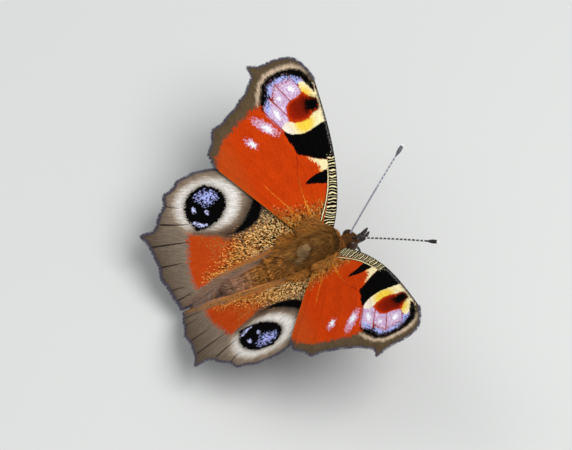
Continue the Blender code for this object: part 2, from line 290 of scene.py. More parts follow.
FORE_STREAK = (
    (7.95, 5.3), (8.25, 4.2), (8.65, 3.1), (9.15, 1.5), (9.7, 2.2), (10.1, 3.4), (10.25, 4.8), (10.2, 6.0),
    (9.0, 5.65),
)
FORE_CREAM_PATCH = (
    (10.15, 6.2), (10.2, 4.7), (11.2, 4.75), (12.2, 4.35), (13.0, 3.7), (13.5, 3.4), (13.0, 4.5),
    (12.2, 5.9), (11.9, 6.7), (11.0, 6.5),
)
FORE_LADDER = (
    (0.5, 2.0), (1.2, 1.9), (2.0, 2.3), (3.0, 2.9), (4.0, 3.5), (5.0, 4.05), (6.0, 4.55), (7.0, 5.0),
    (8.0, 5.4), (9.0, 5.75), (10.0, 6.05), (12.0, 6.5), (14.0, 7.0), (14.0, 9.8), (8.0, 8.8), (4.0, 7.4),
    (0.2, 5.2),
)
FORE_LINE = (
    (-3.0, -1.2), (0.0, 0.6), (1.0, 1.2), (2.0, 1.7), (3.0, 2.4), (4.0, 3.1), (5.0, 3.75), (6.0, 4.32),
    (7.0, 4.83), (8.0, 5.22), (9.0, 5.6), (10.0, 5.92), (11.0, 6.2), (12.5, 6.6), (16.0, 7.4), (16.0, 14.0),
    (-3.0, 14.0),
)
# a stroke has two ends and two half widths
FORE_VEINS = (
    ((23.9, 3.9), (27.9, 2.1), 0.07, 0.1), ((21.8, 2.45), (25.8, 0.45), 0.08, 0.1),
    ((25.2, 6.2), (28.4, 5.0), 0.05, 0.05), ((18.7, 1.35), (24.0, -1.3), 0.06, 0.1),
)
FORE_GOLD_VEINS = (
    ((0.6, 0.9), (3.5, 0.5), 0.16, 0.13), ((3.5, 0.5), (6.4, 0.2), 0.12, 0.05),
    ((2.9, -1.2), (5.3, -2.3), 0.1, 0.09), ((5.3, -2.3), (11.5, -5.5), 0.07, 0.02),
    ((4.0, 0.4), (7.9, 0.3), 0.1, 0.08), ((7.9, 0.3), (11.0, 0.6), 0.08, 0.03),
)
FORE_DARK_VEINS = (((6.6, 0.2), (11.0, 0.55), 0.04, 0.06), ((11.0, 0.55), (14.9, 1.9), 0.06, 0.09))
FORE_GOLD = (
    (-2.0, 3.6), (1.2, 1.6), (3.0, 2.8), (4.2, 3.4), (4.2, 1.6), (4.3, 0.2), (4.6, -1.6), (5.0, -3.4),
    (5.6, -5.6), (4.0, -6.0), (-2.0, -4.0),
)
FORE_HALOS = (((21.2, -1.85), (2.2, 0.75), -40.0), ((19.3, -5.15), (1.05, 0.52), -38.0))
FORE_SPOTS = (((20.8, -1.6), (1.0, 0.48), -35.0), ((19.05, -4.95), (0.72, 0.46), -30.0))

# Markings of the hindwing
HIND_RING = (
    (7.9, -9.2), (8.6, -7.6), (9.8, -6.4), (11.2, -5.6), (13.0, -5.1), (14.8, -5.6), (16.6, -7.2),
    (17.7, -9.2), (18.2, -11.6), (18.0, -14.0), (17.3, -16.0), (16.0, -17.4), (14.0, -18.2), (12.0, -18.2),
    (10.3, -17.4), (9.4, -16.4), (8.4, -14.0), (7.8, -11.6),
)
HIND_CRESCENT = (
    (6.7, -10.2, 0.2), (6.6, -9.4, 0.35), (6.6, -8.4, 0.55), (6.9, -7.2, 0.75), (7.4, -6.0, 1.0),
    (8.2, -4.9, 1.2), (9.3, -4.0, 1.15), (10.6, -3.5, 0.75), (11.8, -3.4, 0.3),
)
HIND_EYE = (
    (12.0, -8.6), (13.6, -8.4), (15.0, -9.2), (16.2, -10.6), (16.5, -11.8), (16.1, -13.5), (15.1, -15.0),
    (13.6, -15.8), (12.0, -16.0), (10.3, -15.5), (9.15, -15.1), (8.95, -14.0), (9.0, -12.6), (9.6, -10.8),
    (10.6, -9.5),
)
HIND_BLUE = (
    (13.0, -10.9), (13.5, -9.7), (14.8, -10.1), (15.5, -11.1), (15.6, -12.2), (15.0, -13.2), (14.3, -13.8),
    (13.6, -12.7), (12.6, -12.0),
)
HIND_BLUE_SPOTS = (((11.6, -12.3), (0.3, 0.25), 0.0), ((12.85, -14.3), (0.45, 0.27), 10.0))
HIND_SHADE = (((6.5, -8.6), (7.4, -12.0), 0.35, 0.3), ((7.4, -12.0), (8.8, -15.6), 0.3, 0.12))
HIND_BLUE_STREAK = ((9.55, -13.2, 0.16), (9.9, -14.1, 0.25), (10.5, -15.0, 0.16))
HIND_RED = (
    (5.3, -8.4), (6.0, -9.2), (7.0, -11.4), (8.0, -13.6), (9.3, -16.6), (6.4, -17.5), (4.2, -18.4),
    (1.5, -18.7), (-0.9, -18.3), (-0.5, -16.0), (0.1, -13.5), (0.6, -9.0), (1.6, -7.0),
)
HIND_PEPPER = (
    (0.6, 2.6), (1.2, -2.0), (1.0, -6.0), (0.5, -10.0), (-0.1, -14.6), (0.5, -16.0), (1.8, -13.2),
    (3.6, -11.2), (5.4, -9.4), (6.1, -7.8), (6.2, -6.0), (6.6, -4.4), (7.3, -3.0), (8.3, -1.4), (8.0, 0.0),
    (5.0, 2.6),
)
HIND_LINES = (
    ((15.5, -19.2), (14.0, -16.6), 0.14, 0.04), ((12.5, -20.8), (11.5, -18.4), 0.17, 0.13),
    ((11.5, -18.4), (10.7, -16.0), 0.13, 0.04), ((9.3, -23.8), (8.4, -20.0), 0.17, 0.15),
    ((8.4, -20.0), (7.7, -16.8), 0.13, 0.05), ((5.3, -23.6), (4.9, -21.5), 0.15, 0.12),
    ((4.9, -21.5), (4.6, -19.2), 0.12, 0.04), ((0.7, -22.8), (0.5, -20.6), 0.12, 0.03),
    ((-1.4, -22.4), (-1.2, -20.8), 0.14, 0.1), ((-1.2, -20.8), (-0.9, -19.2), 0.1, 0.03),
)
HIND_STREAK = (((1.5, -1.5), (0.7, -9.0), 0.45, 0.5), ((0.7, -9.0), (-0.1, -15.0), 0.5, 0.25))
# how far out the hairy inner edge reaches, at these places forwards
HIND_FOLD_AHEAD = (-23.0, -18.0, -14.0, -6.0, 2.6)
HIND_FOLD_OUT = (-2.9, -1.0, 0.0, 0.7, 0.4)
RUNG_STEP = 0.56
RUNG_SLANT = 0.38
DASH_STEP = 0.62


def deepest(place, shapes):
    """How deep each place lies inside any of several ellipses."""
    return np.max([spot(place, *shape) for shape in shapes], axis=0)


def forewing_marks(place):
    """The forewing's markings as depths in millimetres. Pepper is a share, rung a place along the bars."""
    out, ahead = place[:, 0], place[:, 1]
    gold = inside(place, FORE_GOLD)
    return {
        "border": inside(place, FORE_BORDER),
        "crescent": band(place, FORE_CRESCENT),
        "beige": band(place, FORE_BEIGE),
        "lilac": inside(place, FORE_LILAC),
        "blue": deepest(place, FORE_BLUE),
        "white": deepest(place, FORE_WHITE),
        "cream": np.maximum(inside(place, FORE_BAND), inside(place, FORE_BAND_OUTER)),
        "amber": deepest(place, FORE_AMBER),
        "core": inside(place, FORE_CORE),
        "dark": spot(place, *FORE_DARK),
        "pupil": inside(place, FORE_PUPIL),
        "black": np.maximum(inside(place, FORE_PATCH), inside(place, FORE_STREAK)),
        "cream_patch": inside(place, FORE_CREAM_PATCH),
        "ladder": inside(place, FORE_LADDER, smooth=False),
        "line": inside(place, FORE_LINE, smooth=False),
        "gold": gold,
        "halo": deepest(place, FORE_HALOS),
        "spots": deepest(place, FORE_SPOTS),
        "pepper": np.clip(0.5 + gold / 4.4, 0, 1),
        "rung": out + RUNG_SLANT * ahead,
    }


def hindwing_marks(place):
    """The hindwing's markings as depths in millimetres. Gold and low are shares."""
    out, ahead = place[:, 0], place[:, 1]
    return {
        "ring": inside(place, HIND_RING),
        "crescent": band(place, HIND_CRESCENT),
        "eye": inside(place, HIND_EYE),
        "blue": inside(place, HIND_BLUE),
        "blue_spots": np.maximum(deepest(place, HIND_BLUE_SPOTS), band(place, HIND_BLUE_STREAK)),
        "red": inside(place, HIND_RED, smooth=False),
        "pepper": inside(place, HIND_PEPPER),
        "inner": np.interp(ahead, HIND_FOLD_AHEAD, HIND_FOLD_OUT) - out,
        "gold": grade(ahead + 15.5, 9.0),
        "low": grade(-18.3 - ahead, 5.0),
    }


# Surfaces


class Surface:
    """A grid of points with normals, the lie of the coat, named fields and a place on the bake map."""

    def __init__(self, points, fields, bake):
        self.points, self.fields, self.bake = points, fields, bake
        down, across = np.gradient(points, axis=0), np.gradient(points, axis=1)
        self.lie = unit(down)
        self.normal = unit(np.cross(down, across))
        a, b = points[1:, 1:] - points[:-1, :-1], points[1:, :-1] - points[:-1, 1:]
        self.area = 0.5 * np.linalg.norm(np.cross(a, b), axis=-1)

    def at(self, array, row, column):
        """The grid's values at places between its points."""
        r, c = np.floor(row).astype(int), np.floor(column).astype(int)
        r, c = np.clip(r, 0, array.shape[0] - 2), np.clip(c, 0, array.shape[1] - 2)
        f, g = row - r, column - c
        if array.ndim == 3:
            f, g = f[:, None], g[:, None]
        top = array[r, c] * (1 - g) + array[r, c + 1] * g
        low = array[r + 1, c] * (1 - g) + array[r + 1, c + 1] * g
        return top * (1 - f) + low * f

    def scatter(self, count, weight=None):
        """Random places, even by area, or by area times a weight given for each grid point."""
        share = self.area.copy()
        if weight is not None:
            share = share * 0.25 * (weight[1:, 1:] + weight[:-1, 1:] + weight[1:, :-1] + weight[:-1, :-1])
        share = share.ravel() / share.sum()
        cell = RANDOM.choice(len(share), size=count, p=share)
        row, column = np.divmod(cell, self.area.shape[1])
        return row + RANDOM.random(count), column + RANDOM.random(count)


def wing_axes(wing, side):
    """The hinge of a wing and its directions outwards, forwards and up."""
    dihedral, incidence = math.radians(wing["dihedral"]), math.radians(wing["incidence"])
    outward = np.array((math.cos(dihedral), 0.0, math.sin(dihedral)))
    lift = np.array((-math.sin(dihedral), 0.0, math.cos(dihedral)))
    ahead = np.array((0.0, -1.0, 0.0))
    forward = math.cos(incidence) * ahead + math.sin(incidence) * lift
    upward = math.cos(incidence) * lift - math.sin(incidence) * ahead
    mirror = np.array((side, 1.0, 1.0))
    return np.array(wing["hinge"]) * mirror, outward * mirror, forward * mirror, upward * mirror


def vein_path(wing, number, along):
    """Places along one vein, from its root to just inside the margin."""
    _, tip, bow, _, _ = wing["veins"][number]
    first, last = np.array(wing["root"])
    root = first + (last - first) * number / (len(wing["veins"]) - 1)
    chord = np.array(tip) - root
    length = np.linalg.norm(chord)
    sideways = np.array((-chord[1], chord[0])) / length
    along = along * (1 - SKIN_INSET / length)
    bend = bow * np.sin(math.pi * np.maximum(along, 0) ** wing["bow_skew"])
    if number + 1 == len(wing["veins"]):
        bend = bend + wing["edge_fill"] * np.sin(math.pi * np.maximum(along, 0) ** EDGE_FILL_REACH)
    return root + chord * along[:, None] + sideways * bend[:, None]


def wing_plan(wing):
    """The flat grid of a wing: its places, the heights of its ridges and the share along its veins."""
    along = np.linspace(-ROOT_REACH, 1, SKIN_ROWS)
    veins = wing["veins"]
    paths = [vein_path(wing, n, along) for n in range(len(veins))]
    heights = []
    fade = 1 - VEIN_FADE * np.maximum(along, 0)
    for _, _, _, start, _ in veins:
        heights.append(RIDGE_HEIGHT * grade(along - start, VEIN_RISE) * fade)
    places, ridges = [], []
    for n in range(len(veins) - 1):
        chord = paths[n + 1] - paths[n]
        gap = np.linalg.norm(chord, axis=1)
        inward = np.stack([chord[:, 1], -chord[:, 0]], 1) / np.maximum(gap, 1e-6)[:, None]
        depth = veins[n][4] * np.maximum(along, 0) ** SCALLOP_REACH
        count = max(6, round(gap[-1] / SKIN_STEP))
        last = n == len(veins) - 2
        for share in np.arange(count + last) / count:
            shift = depth * math.sin(math.pi * share) ** SCALLOP_ROUND
            places.append(paths[n] + chord * share + inward * shift[:, None])
            ridge = heights[n] * hump(gap * share, RIDGE_WIDTH)
            ridge = ridge + heights[n + 1] * hump(gap * (1 - share), RIDGE_WIDTH)
            ridges.append(ridge - FOLD_DEPTH * math.sin(math.pi * share) ** 2 * grade(gap, FOLD_GAP))
    return np.stack(places, 1), np.stack(ridges, 1), along


def margin_distance(plan):
    """Distance of each place from the wing's outer margin and from its whole outline."""
    outer = plan[-1]
    edge = np.concatenate([plan[:, 0], outer, plan[::-1, -1]])[::2]
    outer = np.concatenate([outer[::max(1, len(outer) // 90)], outer[-1:]])
    flat = plan.reshape(-1, 2)
    return [to_segments(flat, line[:-1], line[1:])[0].reshape(plan.shape[:2]) for line in (outer, edge)]


WING_PLANS = {}


def plan_of(kind):
    """A wing's plan with all its fields, made once for both sides."""
    if kind not in WING_PLANS:
        wing, marks = (FOREWING, forewing_marks) if kind == "forewing" else (HINDWING, hindwing_marks)
        plan, ridge, along = wing_plan(wing)
        shape, out, ahead = plan.shape[:2], plan[..., 0], plan[..., 1]
        fields = {name: value.reshape(shape) for name, value in marks(plan.reshape(-1, 2)).items()}
        fields["margin"], fields["edge"] = margin_distance(plan)
        fields["along"] = np.repeat(along[:, None], shape[1], 1)
        # a measure across the wing that fans out from a place beside the hinge
        fields["across"] = np.arctan2(ahead + 3.0, out + 6.0) * 20.0
        fields["reach"] = np.linalg.norm(plan, axis=-1)
        fields["out"], fields["ahead"] = out, ahead
        fields["left"] = np.zeros(shape)
        WING_PLANS[kind] = (wing, plan, ridge, fields)
    return WING_PLANS[kind]


def wing_surfaces(kind, side):
    """The upper and lower surfaces of one wing."""
    wing, plan, ridge, fields = plan_of(kind)
    fields = {**fields, "left": np.full(plan.shape[:2], float(side > 0))}
    hinge, outward, forward, upward = wing_axes(wing, side)
    out, ahead = plan[..., 0], plan[..., 1]
    reach = np.clip(np.hypot(out, ahead) / wing["span"], 0, 1.2)
    bulge = WING_BULGE * 4 * reach * (1 - reach)
    half = RIM_HALF + (SKIN_HALF - RIM_HALF) * grade(fields["edge"], RIM_REACH)
    low, high = plan.reshape(-1, 2).min(0), plan.reshape(-1, 2).max(0)
    scale = 0.96 / max(high[0] - low[0], 2 * (high[1] - low[1]))
    made = []
    for sign, relief, shelf in ((1, 1, 0.01), (-1, -LOWER_RIDGE, 0.505)):
        height = bulge + sign * half + ridge * relief
        points = hinge + outward * out[..., None] + forward * ahead[..., None] + upward * height[..., None]
        bake = grid(0.01 + (out - low[0]) * scale, shelf + (ahead - low[1]) * scale)
        surface = Surface(points, fields, bake)
        surface.normal *= np.sign((surface.normal * (sign * upward)).sum(-1).mean())
        made.append(surface)
    return made


# Meshes


def linked(name, data):
    """A new object with this data, in the scene."""
    made = bpy.data.objects.new(name, data)
    bpy.context.scene.collection.objects.link(made)
    return made


def mesh_object(name, points, corners, counts, materials, indices=None):
    """A mesh from arrays: corners lists the points of all faces in turn, counts the corners of each face."""
    mesh = bpy.data.meshes.new(name)
    mesh.vertices.add(len(points))
    mesh.vertices.foreach_set("co", world(points).astype(np.float32).ravel())
    mesh.loops.add(len(corners))
    mesh.loops.foreach_set("vertex_index", np.asarray(corners, np.int32))
    mesh.polygons.add(len(counts))
    starts = np.concatenate([[0], np.cumsum(counts)[:-1]])
    mesh.polygons.foreach_set("loop_start", starts.astype(np.int32))
    for material in materials:
        mesh.materials.append(material)
    if indices is not None:
        mesh.polygons.foreach_set("material_index", np.asarray(indices, np.int32))
    mesh.polygons.foreach_set("use_smooth", np.full(len(counts), True))
    mesh.update(calc_edges=True)
    return linked(name, mesh)


def give_fields(made, fields):
    """Stores the fields on the points, three to an attribute, in the order of their names."""
    names = list(fields)
    for first in range(0, len(names), 3):
        values = [fields[n] for n in names[first:first + 3]]
        while len(values) < 3:
            values.append(np.zeros_like(values[0]))
        attribute = made.data.attributes.new("marks_%d" % (first // 3), "FLOAT_VECTOR", "POINT")
        attribute.data.foreach_set("vector", np.stack(values, -1).astype(np.float32).ravel())


def give_tint(made, tint):
    attribute = made.data.attributes.new("tint", "FLOAT_COLOR", "POINT")
    full = np.concatenate([tint, np.ones((len(tint), 1))], 1)
    attribute.data.foreach_set("color", full.astype(np.float32).ravel())


def give_map(made, uv):
    layer = made.data.uv_layers.new(name="OFBake")
    layer.uv.foreach_set("vector", uv.astype(np.float32).ravel())


def grid_faces(rows, columns, offset=0, flip=False):
    """The four corners of each face of a grid of points."""
    index = np.arange(rows * columns).reshape(rows, columns) + offset
    a, b, c, d = index[:-1, :-1], index[:-1, 1:], index[1:, 1:], index[1:, :-1]
    order = (a, d, c, b) if flip else (a, b, c, d)
    return np.stack(order, -1).reshape(-1, 4)


def declare(made, slot, *nodes):
    """The piece goes with the CAD body and stands for these nodes."""
    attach(made, "root")
    if nodes:
        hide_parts(*nodes)


def wing_skin(kind, side, materials):
    """One wing as a closed skin. Returns its upper and lower surfaces."""
    upper, lower = wing_surfaces(kind, side)
    rows, columns = upper.points.shape[:2]
    below = rows * columns
    # the upper grid's own order faces down on one side of the body and up on the other
    corner = upper.points[0, 0]
    turned = np.cross(upper.points[1, 0] - corner, upper.points[0, 1] - corner) @ upper.normal[0, 0] > 0
    top = grid_faces(rows, columns, flip=turned)
    low = grid_faces(rows, columns, offset=below, flip=not turned)
    index = np.arange(below).reshape(rows, columns)
    ring = np.concatenate([index[0, :-1], index[:-1, -1], index[-1, :0:-1], index[:0:-1, 0]])
    after = np.roll(ring, -1)
    rim = np.stack([ring, ring + below, after + below, after], -1)
    if turned:
        rim = rim[:, ::-1]
    faces = np.concatenate([top, low, rim])
    bake = np.concatenate([upper.bake.reshape(-1, 2), lower.bake.reshape(-1, 2)])
    uv = bake[faces]
    # a rim face takes a strip beside its upper edge
    edge = bake[rim % below]
    beyond = unit(edge.mean(1) - bake[:below].mean(0))[:, None, :] * RIM_STRIP
    uv[len(top) + len(low):] = np.where((rim >= below)[..., None], edge + beyond, edge)
    points = np.concatenate([upper.points.reshape(-1, 3), lower.points.reshape(-1, 3)])
    # the lower faces take the second material
    second = np.repeat((0, 1, 0), (len(top), len(low), len(rim)))
    name = sided(kind, side)
    made = mesh_object(name + "_skin", points, faces.ravel(), np.full(len(faces), 4), materials, second)
    give_fields(made, {key: np.tile(value.ravel(), 2) for key, value in upper.fields.items()})
    give_map(made, uv.reshape(-1, 2))
    declare(made, "wing_upper", name)
    return upper, lower


# Tufts
BLADE_SIZES = ("length", "width", "flat", "lift", "droop", "sweep")
BLADE_STATIONS = (0.0, 0.35, 0.72, 1.0)
BLADE_WIDTHS = (0.75, 1.0, 0.7, 0.0)
RIDGE_SHARE = 1.2
# a blade has three rings of three points, the last of them its ridge, and a tip
BLADE_QUADS = [(a + j, a + k, a + 3 + k, a + 3 + j) for a in (0, 3) for j, k in ((0, 1), (1, 2), (2, 0))]
BLADE_TRIANGLES = ((0, 2, 1), (6, 7, 9), (7, 8, 9), (8, 6, 9))
BLADE_CORNERS = [corner for face in (*BLADE_QUADS, *BLADE_TRIANGLES) for corner in face]
BLADE_COUNTS = [4] * len(BLADE_QUADS) + [3] * len(BLADE_TRIANGLES)
# each point's place on the blade's own patch of the map, and those of the root's triangle
BLADE_MAP = [(x, ring / 3) for ring in range(3) for x in (0.0, 1.0, 0.5)] + [(0.5, 1.0)]
ROOT_MAP = ((0.0, 0.0), (0.5, 0.3), (1.0, 0.0))
BLADE_PATCH = 0.003


def tufts(name, slot, material, groups):
    """One mesh of thin closed blades. A group gives each blade's root, directions, sizes and values."""
    stack = {key: np.concatenate([g[key] for g in groups]) for key in groups[0] if key != "fields"}
    root, lie, normal, side = (stack[key] for key in ("root", "lie", "normal", "side"))
    length, width, flat, lift, droop, sweep = (stack[key][:, None] for key in BLADE_SIZES)
    points = []
    for share, wide in zip(BLADE_STATIONS, BLADE_WIDTHS):
        rise = lift * share - droop * share**2
        along, aside = lie * (length * share), side * (length * sweep * share**2)
        centre = root + along + normal * (length * rise) + aside
        half = 0.5 * width * wide
        ridge = normal * (half * flat) * RIDGE_SHARE
        points += [centre - side * half, centre + side * half, centre + ridge] if wide else [centre]
    count, per = len(root), len(points)
    points = np.stack(points, 1).reshape(-1, 3)
    corners = (np.array(BLADE_CORNERS) + (np.arange(count) * per)[:, None]).ravel()
    made = mesh_object(name, points, corners, np.tile(BLADE_COUNTS, count), [material])
    patch = np.array([BLADE_MAP[corner] for corner in BLADE_CORNERS])
    cap = 4 * len(BLADE_QUADS)
    patch[cap:cap + 3] = ROOT_MAP
    uv = stack["bake"][:, None] + (patch - 0.5) * BLADE_PATCH
    give_map(made, np.clip(uv, 0.0, 1.0).reshape(-1, 2))
    if "tint" in stack:
        share = np.repeat(BLADE_STATIONS, (3, 3, 3, 1))
        give_tint(made, mixed(stack["tint"][:, None], stack["tip"][:, None], share).reshape(-1, 3))
    if "fields" in groups[0]:
        whole = {n: np.concatenate([g["fields"][n] for g in groups]) for n in groups[0]["fields"]}
        give_fields(made, {n: np.repeat(value, per) for n, value in whole.items()})
    declare(made, slot)


def spread(low, high, count):
    return low + (high - low) * RANDOM.random(count)


def amount(count):
    return count


def group(surface, row, column, length, width, lift, droop, sweep=0.0, flat=0.5, turn=0.0, lie=None,
          sink=0.03):
    """Blades rooted at these places of a surface, lying along it. Sizes are numbers or arrays."""
    count = len(row)
    normal = unit(surface.at(surface.normal, row, column))
    lie = unit(surface.at(surface.lie, row, column)) if lie is None else lie
    lie = unit(lie - normal * (lie * normal).sum(-1, keepdims=True))
    side = np.cross(normal, lie)
    angle = RANDOM.normal(0, 1, count)[:, None] * turn
    sizes = zip(BLADE_SIZES, (length, width, flat, lift, droop, sweep))
    return {
        "root": surface.at(surface.points, row, column) - normal * sink,
        "normal": normal,
        "lie": lie * np.cos(angle) + side * np.sin(angle),
        "side": side * np.cos(angle) - lie * np.sin(angle),
        "bake": surface.at(surface.bake, row, column),
        **{key: np.full(count, value, float) for key, value in sizes},
    }


# Materials


class Value:
    """A number or a colour inside a material. Numbers can be reckoned with by the usual signs."""

    def __init__(self, shader, socket):
        self.shader, self.socket = shader, socket

    def __add__(self, other):
        return self.shader.math("ADD", self, other)

    def __sub__(self, other):
        return self.shader.math("SUBTRACT", self, other)

    def __rsub__(self, other):
        return self.shader.math("SUBTRACT", other, self)

    def __mul__(self, other):
        return self.shader.math("MULTIPLY", self, other)

    def __truediv__(self, other):
        return self.shader.math("DIVIDE", self, other)

    def __gt__(self, other):
        return self.shader.math("GREATER_THAN", self, other)

    def __lt__(self, other):
        return self.shader.math("LESS_THAN", self, other)

    def __abs__(self):
        return self.shader.math("ABSOLUTE", self)


def rising(value, width):
    """Zero where the value is zero or less, one where it is the width or more."""
    return value.shader.math("DIVIDE", value, width, clamp=True)


def falling(value, width):
    """One where the value is zero or less, zero where it is the width or more."""
    return value.shader.math("SUBTRACT", 1.0, value / width, clamp=True)


def least(first, *others):
    for other in others:
        first = first.shader.math("MINIMUM", first, other)
    return first


def most(first, *others):
    for other in others:
        first = first.shader.math("MAXIMUM", first, other)
    return first


class Shader:
    """A material made of nodes."""

    def __init__(self, name):
        self.material = bpy.data.materials.new(name)
        self.material.use_nodes = True
        self.tree = self.material.node_tree
        self.surface = self.tree.nodes["Principled BSDF"]

    def put(self, socket, value):
        if isinstance(value, Value):
            self.tree.links.new(value.socket, socket)
        elif socket.type == "RGBA":
            socket.default_value = (*value, 1.0)
        else:
            socket.default_value = value

    def node(self, kind, inputs, **settings):
        """The outputs of a new node with these inputs and settings."""
        made = self.tree.nodes.new("ShaderNode" + kind)
        for name, value in settings.items():
            setattr(made, name, value)
        for name, value in inputs.items():
            self.put(made.inputs[name], value)
        return [Value(self, socket) for socket in made.outputs]

    def math(self, operation, first, second=0.0, clamp=False):
        return self.node("Math", {0: first, 1: second}, operation=operation, use_clamp=clamp)[0]

    def mix(self, share, first, second):
        return self.node("Mix", {0: share, 6: first, 7: second}, data_type="RGBA")[2]

    def place(self, x, y):
        return self.node("CombineXYZ", {0: x, 1: y})[0]

    def cells(self, place, dimensions="2D", scale=1.0):
        """The distance from the middle of each cell of a random pattern, and the cell's random colour."""
        return self.node("TexVoronoi", {"Vector": place, "Scale": scale}, voronoi_dimensions=dimensions)[:2]

    def noise(self, place, scale, detail):
        inputs = {"Vector": place, "Scale": scale, "Detail": detail}
        return self.node("TexNoise", inputs, noise_dimensions="2D")[0]

    def bump(self, height, strength, distance):
        inputs = {"Height": height, "Strength": strength, "Distance": distance}
        self.put(self.surface.inputs["Normal"], self.node("Bump", inputs)[0])

    def tint(self):
        """The colour stored on each point."""
        return self.node("Attribute", {}, attribute_name="tint")[0]

    def finish(self, colour, roughness, specular):
        self.put(self.surface.inputs["Base Color"], colour)
        self.put(self.surface.inputs["Roughness"], roughness)
        self.put(self.surface.inputs["Specular IOR Level"], specular)
        return self.material


# Grain of a wing: scales and streaks to a millimetre along and across, and the lie of the hindwing's
SCALE_GRAIN = (5.0, 8.0)
STREAK_GRAIN = (0.55, 4.0)
BROAD_GRAIN = 0.45
HINDWING_LIE = (0.42, 0.91)
WING_ROUGHNESS = 0.75
WING_SPECULAR = 0.03
SCALE_RELIEF = 0.00003


class WingShader(Shader):
    """One side of a wing, coloured in layers from the fields stored on its points."""

    def __init__(self, name, kind):
        super().__init__(name)
        names = list(plan_of(kind)[3])
        self.field = {}
        for first in range(0, len(names), 3):
            vector = self.node("Attribute", {}, attribute_name="marks_%d" % (first // 3))[1]
            self.field.update(zip(names[first:first + 3], self.node("SeparateXYZ", {0: vector})))
        along, across = self.field["out"], self.field["ahead"]
        if kind == "hindwing":
            c, s = HINDWING_LIE
            along, across = along * c - across * s, along * s + across * c
        distance, colour = self.cells(self.place(along * SCALE_GRAIN[0], across * SCALE_GRAIN[1]))
        # three random numbers for each scale, then the distance from its middle
        self.cell = (*self.node("SeparateColor", {0: colour}), distance)
        self.streak = self.noise(self.place(along * STREAK_GRAIN[0], across * STREAK_GRAIN[1]), 1.0, 3.0)
        self.broad = self.noise(self.place(along, across), BROAD_GRAIN, 2.0)
        self.speckled, self.streaked = self.cell[0] - 0.5, self.streak - 0.5
        self.colour = None

    def over(self, below, mark, colour, dither=0.25, soft=0.12, streaks=0.0, shift=0.0):
        """A marking over the colour below it, with an edge that breaks up into scales and streaks."""
        total = (self.field[mark] if isinstance(mark, str) else mark) + self.speckled * dither
        if streaks:
            total = total + self.streaked * streaks
        return self.mix(self.math("ADD", total / soft, 0.5 + shift / soft, clamp=True), below, colour)

    def lay(self, mark, colour, **edge):
        """Lays a marking over all that is there."""
        self.colour = self.over(self.colour, mark, colour, **edge)

    def tinge(self, share, colour):
        self.colour = self.mix(share, self.colour, colour)

    def stroke(self, first, last, start_half, end_half):
        """How deep a place lies inside a straight stroke that gets wider or thinner."""
        length = math.dist(first, last)
        across, along = (last[0] - first[0]) / length, (last[1] - first[1]) / length
        out, ahead = self.field["out"] - first[0], self.field["ahead"] - first[1]
        way = out * across + ahead * along
        aside = abs(out * along - ahead * across)
        half = way * ((end_half - start_half) / length) + start_half
        return least(half - aside, way, length - way)

    def strokes(self, paths):
        return most(*[self.stroke(*path) for path in paths])

    def dark_cells(self, share):
        """Single dark scales in the blue."""
        in_blue = self.math("ADD", self.field["blue"] / 0.3, 0.6, clamp=True)
        return (self.cell[2] < share) * in_blue

    def edge_lines(self, share, tone, start, width):
        """A line round the whole wing and a slate one along its margin."""
        self.tinge(falling(self.field["edge"], 0.14) * share, tone)
        self.tinge(falling(self.field["margin"] - start, width) * 0.85, SLATE)

    def done(self):
        """Each scale a little lighter or darker than the next, with a fine relief."""
        shade = (self.cell[1] * 0.22 + 0.89) * (self.streak * 0.24 + 0.88)
        colour = self.node("VectorMath", {0: self.colour, "Scale": shade}, operation="SCALE")[0]
        self.bump(self.cell[2] * 0.8 - self.cell[3], 0.16, SCALE_RELIEF)
        return self.finish(colour, WING_ROUGHNESS, WING_SPECULAR)


# The forewing's upper side
INNER_RED = (0.45, 0.08, 0.012)
TEETH = (0.1, 0.062, 0.035)
GOLD_VEIN = (0.72, 0.24, 0.02)
DARK_VEIN = (0.36, 0.02, 0.002)
SOOT = (0.03, 0.014, 0.006)
LILAC_PALE = (0.86, 0.78, 0.9)
FORE_INK = (0.05, 0.04, 0.09)
PATCH_ORANGE = (0.9, 0.42, 0.05)
DASH_GREY = (0.13, 0.12, 0.11)
DASH_TAN = (0.5, 0.42, 0.29)
COSTAL_RIM = (0.012, 0.009, 0.008)
LINE_BLACK = (0.008, 0.005, 0.004)
HALO = (0.68, 0.4, 0.56)
EDGE_DARK = (0.03, 0.02, 0.018)
EDGE_ORANGE = (0.75, 0.2, 0.02)
# places on it in millimetres, outwards or forwards
INNER_RED_BEHIND = -5.2
INNER_RED_SLANT = 0.12
ORANGE_REACH = 9.0
TEETH_BEHIND = -2.0
BORDER_BESIDE = 25.0
RIM_START = 24.6
BLACK_BESIDE = 16.8
BAND_PALE_BELOW = 3.4
PATCH_TURN = (11.0, 5.1)
PATCH_SLANT = 0.55
BARS_END = 12.4
LINE_END = 10.3
STRIP_START = (11.2, 6.4)
STRIP_NARROWS = 18.3
DASHES_TURN_TAN = 18.5


